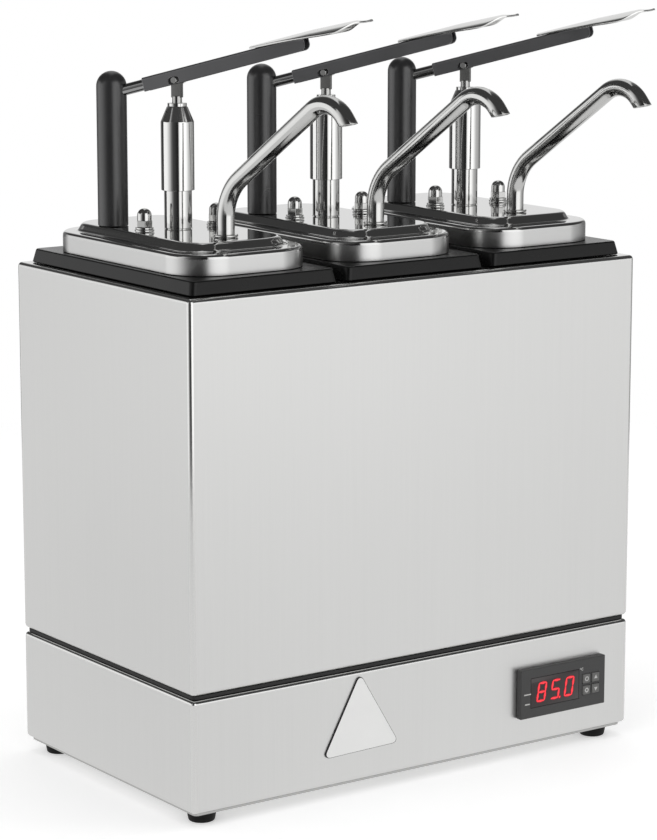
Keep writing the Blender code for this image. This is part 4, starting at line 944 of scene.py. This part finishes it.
# Pans. Deep drawn stainless pans with a rounded floor and a flange that rests on the
# collar, under the lid. They hang in the tank and lift out.
PAN_WIDTH = 85.4 * MM
PAN_LENGTH = 165.4 * MM
PAN_SHEET = 1.0 * MM
PAN_FLOOR_ROUND = 8.0 * MM
PAN_TAPER = 3.0 * MM
PAN_FLANGE = 1.2 * MM
PAN_CORNER = 21.2 * MM
PAN_EDGE = 0.4 * MM
pan_steel = sheet_finish("pan_steel", (0.60, 0.60, 0.59), 0.24)
low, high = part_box("pan_1")
rim = high.z - PAN_FLANGE + PAN_SHEET
width, length = high.x - low.x, high.y - low.y
ledge = Vector((width - PAN_WIDTH, length - PAN_LENGTH, 0)) / 2
pan = rounded_block("pan", low + ledge, at(high - ledge, rim), PAN_CORNER, 8)
pick(pan, "VERT", lambda vertex: vertex.co.z < low.z + NEAR)
grow_picked(-PAN_TAPER, centre("pan_1"), PAN_WIDTH, PAN_LENGTH)
pick(pan, "EDGE", lambda edge: most(edge, 2) < low.z + NEAR)
round_picked(PAN_FLOOR_ROUND, 6)
pick(pan, "FACE", lambda face: face.normal.z > 0.99)
bpy.ops.mesh.extrude_region_move()
flange_share = (width / PAN_WIDTH, length / PAN_LENGTH, 1)
bpy.ops.transform.resize(value=flange_share, center_override=centre("pan_1"))
bpy.ops.mesh.delete(type="ONLY_FACE")
soften(solidify(close(pan), PAN_SHEET), PAN_EDGE, 3, 50.0)
repeat(smooth_flat(pan), "deep_pan", pan_steel, "housing", "plain_steel", "pan_{}")

# Lids. Pressed stainless covers with a satin wall, a rounded shoulder, a ledge and a
# raised deck polished to a mirror, with a hole for each thing that stands on it.
LID_CORNER = 30.0 * MM
LID_SHEET = 1.5 * MM
LID_SHOULDER = 2.6 * MM
LID_EDGE = 0.3 * MM
DECK_RISE = 5.5 * MM
DECK_INSET = 10.0 * MM
DECK_FRONT_STEP = 3.0 * MM
DECK_SLOPE = 2.6 * MM
DECK_SEARCH = 9.0 * MM
STEP_FOOT_ROUND = 1.9 * MM
STEP_TOP_ROUND = 2.0 * MM
SATIN_FADE = 0.6 * MM
PUMP_TO_SPOUT = 57.0 * MM
TUBE_RADIUS = 9.2 * MM
SPOUT_RADIUS = 5.85 * MM
POST_SPIGOT = 4.0 * MM
STUD_RADIUS = 2.5 * MM


def mirror_finish(name, colour, polish, satin, satin_below):
    """Polished sheet whose wall, below a height, keeps a satin finish."""
    material, tree, inner = start_finish(name, colour, polish, 1.0)
    place = add_node(tree, "TexCoord", output="Object")
    height = add_node(tree, "SeparateXYZ", None, {0: place}, "Z")
    wall = ((height - satin_below) * (-1 / SATIN_FADE)).clamp()
    cloud = noise(tree, 26.0)
    swirl = noise(tree, (500.0, 500.0, 120.0), 3.0)
    feed(tree, inner["Base Color"], tint(tree, colour, 0.05, cloud))
    feed(tree, inner["Roughness"], wall * (satin - polish) + cloud * 0.03 + polish)
    bump(tree, inner, swirl * (wall * 0.8 + 0.2), 0.01 * MM, 0.3)
    return material


def extrude(step):
    """Extrude what is picked by a step."""
    bpy.ops.mesh.extrude_region_move(TRANSFORM_OT_translate={"value": step})


def on_deck(edge, level):
    """Whether an edge of the lid lies at a level, within the ledge."""
    inside = all(
        low[axis] + DECK_SEARCH < least(edge, axis) and most(edge, axis) < high[axis] - DECK_SEARCH
        for axis in (0, 1)
    )
    return inside and level - NEAR < least(edge, 2) and most(edge, 2) < level + NEAR


low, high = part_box("lid_1")
deck = high.z
ledge = deck - DECK_RISE
lid_middle = centre("lid_1")
lid = rounded_block("lid", low, at(high, ledge), LID_CORNER, 16)
pick(lid, "EDGE", lambda edge: least(edge, 2) > ledge - NEAR)
round_picked(LID_SHOULDER, 5)
pick(lid, "FACE", lambda face: face.normal.z > 0.99)
bpy.ops.mesh.inset(thickness=DECK_INSET - LID_SHOULDER)
deck_width = high.x - low.x - 2 * DECK_INSET
deck_length = high.y - low.y - 2 * DECK_INSET
rear = (lid_middle.x, high.y - DECK_INSET, ledge)
bpy.ops.transform.resize(value=(1, 1 - DECK_FRONT_STEP / deck_length, 1), center_override=rear)
extrude((0, 0, DECK_RISE))
grow_picked(-DECK_SLOPE, at(lid_middle, deck), deck_width, deck_length)
for level, radius in ((ledge, STEP_FOOT_ROUND), (deck, STEP_TOP_ROUND)):
    pick(lid, "EDGE", lambda edge: on_deck(edge, level))
    round_picked(radius, 6)
pick(lid, "FACE", lambda face: face.normal.z < -0.99)
bpy.ops.mesh.delete(type="FACE")
soften(solidify(close(lid), LID_SHEET), LID_EDGE, 2, 60.0)
pump_axis = centre("sleeve_1")
spout_place = pump_axis - Vector((0, PUMP_TO_SPOUT, 0))
for place, radius in (
    (pump_axis, TUBE_RADIUS),
    (spout_place, SPOUT_RADIUS),
    (centre("post_1"), POST_SPIGOT),
    (centre("nut_left_1"), STUD_RADIUS),
    (centre("nut_right_1"), STUD_RADIUS),
):
    cut(lid, rod("lid_hole", place, ledge, deck + PAST, radius + CLEARANCE, 48))
lid_steel = mirror_finish("lid_steel", (0.62, 0.62, 0.615), 0.05, 0.27, ledge - LID_SHOULDER)
repeat(smooth_flat(lid), "lid_cover", lid_steel, "lid_assembly_{}", "mirror_steel", "lid_{}")

# Pump bodies. A welded stainless piece: the guide tube through the lid, the cylinder
# under it, a crossbar with two studs for the cap nuts, and the arm to the spout.
TUBE_BORE = 7.5 * MM
TUBE_TOP = 43.5 * MM
TUBE_EDGE = 0.15 * MM
GROOVE_HEIGHT = 0.6 * MM
GROOVE_DEPTH = 0.6 * MM
GROOVE_SLOPE = 0.1 * MM
CYLINDER_RADIUS = 18.0 * MM
CYLINDER_BORE = 16.0 * MM
CYLINDER_LENGTH = 92.0 * MM
CYLINDER_SHOULDER = 9.0 * MM
CYLINDER_FLOOR = 4.0 * MM
INLET_RADIUS = 5.0 * MM
CROSSBAR = Vector((72.0, 16.0, 3.0)) * MM
CROSSBAR_GRIP = 0.2 * MM
STUD_TOP = 10.0 * MM
STUD_EDGE = 0.5 * MM
ARM_WIDTH = 20.0 * MM
ARM_HEIGHT = 16.0 * MM
ARM_END = 10.0 * MM
ARM_EDGE = 1.2 * MM
SOCKET_DEPTH = 9.0 * MM


def polished_finish(name, colour, roughness, along=2, wear=0.06):
    """Polished stainless with fine turning or buffing lines across one axis."""
    material, tree, inner = start_finish(name, colour, roughness, 1.0)
    lines = noise(tree, tuple(2200.0 if axis == along else 40.0 for axis in range(3)))
    cloud = noise(tree, 50.0)
    feed(tree, inner["Base Color"], tint(tree, colour, wear, cloud))
    feed(tree, inner["Roughness"], lines * 0.03 + cloud * 0.04 + (roughness - 0.03))
    bump(tree, inner, lines, 0.004 * MM, 0.08)
    return material


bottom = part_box("pump_body_1")[0].z
shoulder = bottom + CYLINDER_LENGTH
tube_top = deck + TUBE_TOP
profile = [
    (TUBE_BORE, tube_top),
    (TUBE_RADIUS, tube_top),
    (TUBE_RADIUS, deck + GROOVE_HEIGHT + GROOVE_SLOPE),
    (TUBE_RADIUS - GROOVE_DEPTH, deck + GROOVE_HEIGHT),
    (TUBE_RADIUS - GROOVE_DEPTH, deck),
    (TUBE_RADIUS, deck - GROOVE_SLOPE),
    (TUBE_RADIUS, shoulder + CYLINDER_SHOULDER),
    (CYLINDER_RADIUS, shoulder),
    (CYLINDER_RADIUS, bottom),
    (INLET_RADIUS, bottom),
    (INLET_RADIUS, bottom + CYLINDER_FLOOR),
    (CYLINDER_BORE, bottom + CYLINDER_FLOOR),
    (CYLINDER_BORE, shoulder),
    (TUBE_BORE, shoulder + CYLINDER_SHOULDER - CLEARANCE),
]
tube = soften(turned("pump", at(pump_axis, 0), profile, 64, True), TUBE_EDGE, 2)
stud_y = centre("nut_left_1").y
bar_top = deck - LID_SHEET - CLEARANCE
bar_z = bar_top - CROSSBAR.z / 2
bar_middle = Vector((pump_axis.x, (stud_y + pump_axis.y) / 2, bar_z))
crossbar = block("crossbar", bar_middle - CROSSBAR / 2, bar_middle + CROSSBAR / 2)
cut(crossbar, rod("bar_hole", pump_axis, bar_z - PAST, bar_z + PAST, TUBE_RADIUS - CROSSBAR_GRIP, 64))
parts = [soften(crossbar, STUD_EDGE)]
for node in ("nut_left_1", "nut_right_1"):
    stud = rod("stud", (centre(node).x, stud_y), bar_z, deck + STUD_TOP, STUD_RADIUS, 24)
    parts.append(soften(stud, STUD_EDGE, 2))
arm_low = Vector((pump_axis.x - ARM_WIDTH / 2, spout_place.y - ARM_END, bottom + CYLINDER_FLOOR))
arm_back = pump_axis.y - (CYLINDER_RADIUS + CYLINDER_BORE) / 2
arm_top = arm_low.z + ARM_HEIGHT
arm = soften(block("outlet_arm", arm_low, (pump_axis.x + ARM_WIDTH / 2, arm_back, arm_top)), ARM_EDGE, 4)
socket_low = arm_top - SOCKET_DEPTH
cut(arm, rod("spout_socket", spout_place, socket_low, arm_top + PAST, SPOUT_RADIUS + CLEARANCE, 48))
pump_steel = polished_finish("pump_steel", (0.70, 0.70, 0.69), 0.07)
pump = smooth_flat(join(tube, *parts, arm))
repeat(pump, "pump", pump_steel, "lid_assembly_{}", "polished_steel", "pump_body_{}")

# Posts. Turned black acetal, with a domed top and a slot for the lever. The pin is a
# short stainless rod pushed in from one side.
POST_RADIUS = 10.1 * MM
POST_EDGE = 0.45 * MM
SLOT_WIDTH = 8.4 * MM
SLOT_BACK = 6.6 * MM
SLOT_ABOVE = 7.1 * MM
SLOT_BELOW = 10.6 * MM
PIN_RADIUS = 1.75 * MM
PIN_START = 1.4 * MM
PIN_END = 2.4 * MM
PIN_EDGE = 0.3 * MM
POST_COLOUR = (0.020, 0.020, 0.021)
lever_joint = next(joint for joint in frame["joints"] if joint["name"] == "lever_press_1")
lever_side = Vector(lever_joint["axis"])
upwards = Vector((0, 0, 1))
lever_frame = Matrix((lever_side.cross(upwards), -lever_side, upwards)).transposed().to_4x4()
lever_frame.translation = Vector(lever_joint["pos_m"])


def arc(middle, radius, start, end, steps):
    """Points on an arc, between two angles in degrees."""
    points = []
    for step in range(steps + 1):
        angle = math.radians(start + (end - start) * step / steps)
        points.append((middle[0] + radius * math.cos(angle), middle[1] + radius * math.sin(angle)))
    return points


def across_lever(name, start, end, radius, x=0.0, z=0.0, sides=32):
    """A cylinder across the lever's direction, in the lever's own frame."""
    return cylinder(name, (x, start, z), (x, end, z), radius, sides)


low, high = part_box("post_1")
profile = [(0, high.z)]
profile += arc((0, high.z - POST_RADIUS), POST_RADIUS, 88, 0, 14)
profile += [(POST_RADIUS, deck + CLEARANCE), (POST_SPIGOT, deck + CLEARANCE)]
profile += [(POST_SPIGOT, low.z), (0, low.z)]
post = turned("post", at(lever_frame.translation, 0), profile, 64)
slot_low = (-SLOT_BACK, -SLOT_WIDTH / 2, -SLOT_BELOW)
slot_high = (POST_RADIUS + PAST, SLOT_WIDTH / 2, SLOT_ABOVE)
cut(post, place_at(block("post_slot", slot_low, slot_high), lever_frame))
hole_end = POST_RADIUS - PIN_END + CLEARANCE
pin_hole = across_lever("pin_hole", -POST_RADIUS - PAST, hole_end, PIN_RADIUS + CLEARANCE / 2)
cut(post, place_at(pin_hole, lever_frame))
soften(post, POST_EDGE, 3, 50.0)
post_acetal, tree, inner = start_finish("post_acetal", POST_COLOUR, 0.3, 0.0, {"Specular IOR Level": 1.0})
rings = noise(tree, (25.0, 25.0, 900.0), 3.0)
cloud = noise(tree, (60.0, 60.0, 20.0))
feed(tree, inner["Base Color"], tint(tree, POST_COLOUR, 0.3, cloud))
feed(tree, inner["Roughness"], rings * 0.12 + cloud * 0.10 + 0.20)
bump(tree, inner, rings, 0.03 * MM, 0.4)
repeat(smooth_flat(post), "lever_post", post_acetal, "lid_assembly_{}", "black_plastic", "post_{}")

pin = across_lever("pin", -POST_RADIUS + PIN_START, POST_RADIUS - PIN_END, PIN_RADIUS)
soften(place_at(pin, lever_frame), PIN_EDGE)
pin_steel = polished_finish("pin_steel", (0.60, 0.60, 0.59), 0.16)
repeat(smooth(pin), "hinge_pin", pin_steel, "lid_assembly_{}", "polished_steel", "pivot_pin_{}")

# Spouts. One bent stainless tube each, polished, cut off at a slant at the mouth, with
# a thin collar where it goes through the lid.
SPOUT_BORE = 4.85 * MM
SPOUT_TURN = math.radians(10.0)
SPOUT_BEND_START = 11.4 * MM
LOWER_BEND = 34.0 * MM
UPPER_BEND = 20.0 * MM
BEND_STEPS = 20
# Angles over level, in degrees
SPOUT_RISE = 36.0
SPOUT_FALL = 52.0
MOUTH_TILT = 15.0
SPOUT_ARM = 81.4 * MM
SPOUT_END = 5.0 * MM
SPOUT_EDGE = 0.25 * MM
FERRULE_RADIUS = 8.0 * MM
FERRULE_HEIGHT = 1.6 * MM
FERRULE_EDGE = 0.5 * MM


def heading(angle):
    """A direction in the spout's plane, from its angle over level in degrees."""
    return Vector((math.cos(math.radians(angle)), 0, math.sin(math.radians(angle))))


def bend(angle, middle):
    """Bend the picked end of the tube forwards by an angle in degrees."""
    bpy.ops.mesh.spin(steps=BEND_STEPS, angle=-math.radians(angle), center=middle, axis=(0, 1, 0))


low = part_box("spout_1")[0]
bpy.ops.object.select_all(action="DESELECT")
bpy.ops.mesh.primitive_circle_add(
    vertices=40, radius=SPOUT_RADIUS, fill_type="NOTHING", location=(0, 0, low.z)
)
spout = settle("spout")
pick(spout, "EDGE")
bend_z = deck + SPOUT_BEND_START
extrude((0, 0, bend_z - low.z))
lower_middle = Vector((LOWER_BEND, 0, bend_z))
bend(90 - SPOUT_RISE, lower_middle)
along_rise = heading(SPOUT_RISE) * SPOUT_ARM
extrude(along_rise)
rise_end = lower_middle + heading(SPOUT_RISE + 90) * LOWER_BEND + along_rise
upper_middle = rise_end + heading(SPOUT_RISE - 90) * UPPER_BEND
bend(SPOUT_RISE + SPOUT_FALL, upper_middle)
bend_end = upper_middle + heading(90 - SPOUT_FALL) * UPPER_BEND
extrude(heading(-SPOUT_FALL) * (SPOUT_END + 2 * SPOUT_RADIUS))
heal()
mouth = bend_end + heading(-SPOUT_FALL) * SPOUT_END
pick(spout, "FACE", lambda face: (face.calc_center_median() - mouth).length < 4 * SPOUT_RADIUS)
bpy.ops.mesh.bisect(plane_co=mouth, plane_no=heading(MOUTH_TILT - 90), clear_outer=True)
solidify(close(spout), SPOUT_RADIUS - SPOUT_BORE, False)
soften(spout, SPOUT_EDGE, 2, 60.0)
profile = [
    (SPOUT_RADIUS, 0),
    (FERRULE_RADIUS, 0),
    (FERRULE_RADIUS, FERRULE_HEIGHT),
    (SPOUT_RADIUS, FERRULE_HEIGHT),
]
ferrule = turned("ferrule", (0, 0, deck + CLEARANCE), profile, 48, True)
join(spout, soften(ferrule, FERRULE_EDGE, 3, 50.0))
facing = Matrix.Rotation(SPOUT_TURN - math.pi / 2, 4, "Z")
place_at(spout, Matrix.Translation(at(spout_place, 0)) @ facing)
spout_steel = sheet_finish("spout_steel", (0.62, 0.62, 0.61), 0.12, 0.06, 0.02)
repeat(smooth(spout, 50.0), "spout_tube", spout_steel, "lid_assembly_{}", "polished_steel", "spout_{}")

# Cap nuts. Two thin washers, a six-sided nut with its corners taken off, and a dome.
# They are stainless, hollow, and screwed on the two studs of each pump.
NUT_WASHER = 6.45 * MM
NUT_WASHER_STEP = 0.5 * MM
NUT_WASHER_HEIGHT = 3.0 * MM
NUT_WASHER_GAP = 0.15 * MM
NUT_WASHER_EDGE = 0.3 * MM
NUT_HEX = 5.75 * MM
NUT_HEX_HEIGHT = 4.3 * MM
NUT_HEX_EDGE = 0.25 * MM
NUT_DOME = 4.8 * MM
NUT_DOME_HEIGHT = 7.9 * MM
NUT_DOME_SINK = 0.2 * MM
NUT_BORE_DEPTH = 11.5 * MM
NUT_TURN = math.radians(30.0)


def cap_nut(name, node):
    """A cap nut with two washers, hollow up to the end of its stud."""
    foot = at(centre(node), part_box(node)[0].z)
    hex_top = NUT_WASHER_HEIGHT + NUT_HEX_HEIGHT
    bore = STUD_RADIUS + CLEARANCE
    dome_foot = hex_top - NUT_DOME_SINK
    profile = [(0, hex_top + NUT_DOME_HEIGHT)]
    profile += arc((0, hex_top + NUT_DOME_HEIGHT - NUT_DOME), NUT_DOME, 84, 0, 10)
    profile += [(NUT_DOME, dome_foot), (bore, dome_foot), (bore, NUT_BORE_DEPTH), (0, NUT_BORE_DEPTH)]
    nut = turned(name, foot, profile, 40)
    hexagon = rod("nut_hex", foot, foot.z + NUT_WASHER_HEIGHT, foot.z + hex_top, NUT_HEX, 6)
    cut(hexagon, rod("nut_core", foot, foot.z, foot.z + 2 * hex_top, bore, 40))
    soften(hexagon, NUT_HEX_EDGE)
    spin = Matrix.Rotation(NUT_TURN, 4, "Z")
    place_at(hexagon, Matrix.Translation(foot) @ spin @ Matrix.Translation(-foot))
    washers = []
    half = NUT_WASHER_HEIGHT / 2
    for level, radius in ((0, NUT_WASHER), (half, NUT_WASHER - NUT_WASHER_STEP)):
        top = level + half - NUT_WASHER_GAP
        profile = [(bore, level), (radius, level), (radius, top), (bore, top)]
        washer = turned("washer", foot, profile, 40, True)
        washers.append(soften(washer, NUT_WASHER_EDGE, 3, 50.0))
    return join(nut, hexagon, *washers)


nut_steel = polished_finish("nut_steel", (0.66, 0.66, 0.65), 0.10)
for side in ("left", "right"):
    nut = smooth_flat(cap_nut("cap_nut", f"nut_{side}_1"))
    repeat(nut, f"cap_nut_{side}", nut_steel, "lid_assembly_{}", "polished_steel", f"nut_{side}_{{}}")

# Sleeves. A turned and polished sleeve slides down over the guide tube, and its cone
# ends in a neck round the plunger's rod.
SLEEVE_RADIUS = 11.05 * MM
SLEEVE_BORE = 9.6 * MM
SLEEVE_LENGTH = 45.0 * MM
SLEEVE_CONE = 10.0 * MM
SLEEVE_CONE_TOP = 6.9 * MM
SLEEVE_NECK = 6.4 * MM
SLEEVE_CROWN = 7.5 * MM
SLEEVE_EDGE = 0.6 * MM
ROD_RADIUS = 3.25 * MM

low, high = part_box("sleeve_1")
height = high.z - low.z
cone_top = SLEEVE_LENGTH + SLEEVE_CONE
profile = [
    (ROD_RADIUS + CLEARANCE, height),
    (SLEEVE_NECK, height),
    (SLEEVE_NECK, cone_top),
    (SLEEVE_CONE_TOP, cone_top - CLEARANCE),
    (SLEEVE_RADIUS, SLEEVE_LENGTH),
    (SLEEVE_RADIUS, 0),
    (SLEEVE_BORE, 0),
    (SLEEVE_BORE, SLEEVE_LENGTH - CLEARANCE),
    (ROD_RADIUS + CLEARANCE, height - SLEEVE_CROWN),
]
sleeve = soften(turned("sleeve", at(pump_axis, low.z), profile, 72, True), SLEEVE_EDGE, 4, 20.0)
sleeve_steel = polished_finish("sleeve_steel", (0.76, 0.76, 0.75), 0.07)
repeat(smooth_flat(sleeve), "pump_sleeve", sleeve_steel, "plunger_assembly_{}", "polished_steel", "sleeve_{}")

# Plungers. A stainless rod with its piston in the cylinder. It comes out of the
# sleeve's top as a flat tongue, with a hole that the bolt goes through.
PISTON_RADIUS = 15.6 * MM
PISTON_HEIGHT = 8.0 * MM
PISTON_EDGE = 0.5 * MM
TONGUE_WIDTH = 7.2 * MM
TONGUE_THICKNESS = 4.0 * MM
TONGUE_FOOT = 3.4 * MM
TONGUE_OVERLAP = 1.2 * MM
TONGUE_ROUND = 3.5 * MM
TONGUE_EDGE = 0.3 * MM
HOLE_REACH = 9.0 * MM
BOLT_RADIUS = 2.0 * MM

sleeve_top = high.z
low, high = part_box("plunger_1")
tongue_foot = sleeve_top + TONGUE_FOOT
profile = [
    (0, tongue_foot + TONGUE_OVERLAP),
    (ROD_RADIUS, tongue_foot + TONGUE_OVERLAP),
    (ROD_RADIUS, low.z + PISTON_HEIGHT),
    (PISTON_RADIUS, low.z + PISTON_HEIGHT),
    (PISTON_RADIUS, low.z),
    (0, low.z),
]
plunger = soften(turned("plunger", at(pump_axis, 0), profile, 48), PISTON_EDGE)
bolt_z = high.z - TONGUE_WIDTH / 2
bolt_frame = lever_frame.copy()
bolt_frame.translation = at(pump_axis, bolt_z)
half = Vector((TONGUE_WIDTH, TONGUE_THICKNESS, TONGUE_WIDTH)) / 2
tongue = block("tongue", at(-half, tongue_foot - bolt_z), half)
pick(tongue, "EDGE", lambda edge: least(edge, 2) > 0 and most(edge, 1) - least(edge, 1) > NEAR)
round_picked(TONGUE_ROUND, 10)
close(tongue)
cut(tongue, across_lever("tongue_hole", -HOLE_REACH, HOLE_REACH, BOLT_RADIUS + CLEARANCE))
place_at(soften(tongue, TONGUE_EDGE, 2, 50.0), bolt_frame)
plunger_steel = polished_finish("plunger_steel", (0.50, 0.50, 0.49), 0.12)
plunger = smooth_flat(join(plunger, tongue))
repeat(plunger, "plunger_rod", plunger_steel, "plunger_assembly_{}", "polished_steel", "plunger_{}")

# Bolts. A stainless socket screw through the lever and the tongue, with a round head
# and a six-sided socket in it.
BOLT_HEAD = 3.5 * MM
BOLT_HEAD_LENGTH = 4.0 * MM
BOLT_HEAD_EDGE = 1.0 * MM
BOLT_END = 1.0 * MM
BOLT_SOCKET = 1.75 * MM
BOLT_SOCKET_DEPTH = 2.0 * MM
CHANNEL_WIDTH = 11.0 * MM

seat = CHANNEL_WIDTH / 2 + CLEARANCE
head_top = seat + BOLT_HEAD_LENGTH
bolt_end = -CHANNEL_WIDTH / 2 - BOLT_END
profile = [
    (0, head_top),
    (BOLT_HEAD, head_top),
    (BOLT_HEAD, seat),
    (BOLT_RADIUS, seat),
    (BOLT_RADIUS, bolt_end),
    (0, bolt_end),
]
bolt = turned("bolt", (0, 0, 0), profile, 40)
cut(bolt, rod("bolt_socket", (0, 0), head_top - BOLT_SOCKET_DEPTH, head_top + PAST, BOLT_SOCKET, 6))
soften(bolt, BOLT_HEAD_EDGE, 1, 40.0)
place_at(bolt, bolt_frame @ Matrix.Rotation(math.pi / 2, 4, "X"))
bolt_steel = polished_finish("bolt_steel", (0.84, 0.84, 0.83), 0.10)
repeat(smooth_flat(bolt), "lever_bolt", bolt_steel, "plunger_assembly_{}", "polished_steel", "pivot_bolt_{}")

# Levers. A dark polished channel, open below, on a round bar that turns in the post.
# The bolt has a slot in the channel, because the plunger goes straight down.
LEVER_PITCH = math.radians(14.8)
BAR_RADIUS = 3.8 * MM
BAR_TAIL = 5.0 * MM
BAR_OVERLAP = 1.0 * MM
BAR_EDGE = 0.5 * MM
CHANNEL_START = 25.3 * MM
CHANNEL_END = 141.2 * MM
CHANNEL_HEIGHT = 9.3 * MM
CHANNEL_SHEET = 1.5 * MM
CHANNEL_NOSE = 4.0 * MM
CHANNEL_FOLD = 1.6 * MM
CHANNEL_EDGE = 0.35 * MM
PLUG_SETBACK = 1.2 * MM
PLUG_LENGTH = 8.0 * MM
PLUG_FOOT = 0.75 * MM
PLUG_EDGE = 0.4 * MM
BOLT_BELOW = 2.1 * MM
SLOT_NEAR = 45.7 * MM
SLOT_FAR = 48.7 * MM

arm_frame = lever_frame @ Matrix.Rotation(-LEVER_PITCH, 4, "Y")
half_height = CHANNEL_HEIGHT / 2
half_width = CHANNEL_WIDTH / 2
channel = block("lever", (CHANNEL_START, -half_width, -half_height), (CHANNEL_END, half_width, half_height))
pick(channel, "EDGE", lambda edge: least(edge, 0) > CHANNEL_END - NEAR and most(edge, 2) < 0)
round_picked(CHANNEL_NOSE, 8)
pick(channel, "EDGE", lambda edge: least(edge, 2) > 0 and most(edge, 1) - least(edge, 1) < NEAR)
round_picked(CHANNEL_FOLD, 5)
close(channel)
inner_side = half_width - CHANNEL_SHEET
inner_top = half_height - CHANNEL_SHEET
space_low = (CHANNEL_START - PAST, -inner_side, -half_height - PAST)
cut(channel, block("channel_space", space_low, (CHANNEL_END + PAST, inner_side, inner_top)))
reach = half_width + PAST
slot = across_lever("bolt_slot", -reach, reach, BOLT_RADIUS + CLEARANCE, SLOT_NEAR, -BOLT_BELOW)
pick(slot, "VERT", lambda vertex: vertex.co.x > SLOT_NEAR)
bpy.ops.transform.translate(value=(SLOT_FAR - SLOT_NEAR, 0, 0))
cut(channel, close(slot))
soften(channel, CHANNEL_EDGE, 2, 50.0)
plug_start = CHANNEL_START + PLUG_SETBACK
plug_low = (plug_start, -inner_side, -half_height + PLUG_FOOT)
plug = block("lever_plug", plug_low, (plug_start + PLUG_LENGTH, inner_side, inner_top))
place_at(join(channel, soften(plug, PLUG_EDGE, 2)), arm_frame)
lever_bar = cylinder("lever_bar", (-BAR_TAIL, 0, 0), (plug_start + BAR_OVERLAP, 0, 0), BAR_RADIUS, 48)
cut(lever_bar, across_lever("pin_way", -PAST, PAST, PIN_RADIUS + CLEARANCE))
place_at(soften(lever_bar, BAR_EDGE, 3, 50.0), arm_frame)
lever_steel = sheet_finish("lever_steel", (0.33, 0.33, 0.34), 0.32, 0.22)
repeat(smooth_flat(channel), "lever_arm", lever_steel, "lever_assembly_{}", "dark_steel", "lever_{}")
bar_steel = polished_finish("bar_steel", (0.34, 0.34, 0.34), 0.10, 0)
repeat(smooth_flat(lever_bar), "lever_bar", bar_steel, "lever_assembly_{}", "dark_steel")

# Thumb pads. A polished stainless plate on each lever, arched from side to side, that
# widens to a rounded front end and dips at its tip.
PAD_START = 104.0 * MM
PAD_LENGTH = 83.0 * MM
PAD_HALF_WIDTH = 14.0 * MM
PAD_THICKNESS = 1.2 * MM
PAD_DROOP = 4.6 * MM
PAD_DIP = 1.2 * MM
PAD_TIP_FALL = 2.9 * MM
PAD_EDGE = 0.3 * MM
# Shares of the full width, at the back and at the tip
PAD_BACK_SHARE = 0.43
PAD_TIP_SHARE = 0.28
# Shares of the length, where the pad is widest, narrow again, no more flat, and falls
PAD_WIDEST = 0.73
PAD_NARROW = 0.97
PAD_FLAT = 0.53
PAD_TIP = 0.88


def pad_width(share):
    """Share of the pad's full width, at a share of its length."""
    if share < PAD_WIDEST:
        return PAD_BACK_SHARE + (1 - PAD_BACK_SHARE) * math.sin(math.pi / 2 * share / PAD_WIDEST) ** 1.5
    beyond = min(1, (share - PAD_WIDEST) / (PAD_NARROW - PAD_WIDEST))
    return PAD_TIP_SHARE + (1 - PAD_TIP_SHARE) * (0.5 + 0.5 * math.cos(math.pi * beyond))


def pad_crown(share):
    """Height of the pad's crown over the lever's axis, at a share of its length."""
    crest = PAD_DROOP * (half_width / PAD_HALF_WIDTH) ** 2
    level = half_height + CLEARANCE + crest + PAD_THICKNESS
    if share <= PAD_FLAT:
        return level
    if share <= PAD_TIP:
        return level - PAD_DIP * (share - PAD_FLAT) / (PAD_TIP - PAD_FLAT)
    tip = math.sin(math.pi / 2 * (share - PAD_TIP) / (1 - PAD_TIP))
    return level - PAD_DIP - (PAD_TIP_FALL - PAD_DIP) * tip


bpy.ops.object.select_all(action="DESELECT")
bpy.ops.mesh.primitive_grid_add(x_subdivisions=48, y_subdivisions=14, size=1)
pad = settle("pad")
for vertex in pad.data.vertices:
    share = math.sin(math.pi / 2 * (vertex.co.x + 0.5))
    y = 2 * vertex.co.y * pad_width(share) * PAD_HALF_WIDTH
    z = pad_crown(share) - PAD_DROOP * (y / PAD_HALF_WIDTH) ** 2
    vertex.co = (PAD_START + share * PAD_LENGTH, y, z)
soften(solidify(pad, PAD_THICKNESS), PAD_EDGE, 2, 50.0)
place_at(pad, arm_frame)
pad_steel = polished_finish("pad_steel", (0.78, 0.78, 0.77), 0.09)
repeat(smooth(pad, 50.0), "pad", pad_steel, "lever_assembly_{}", "polished_steel", "thumb_pad_{}")
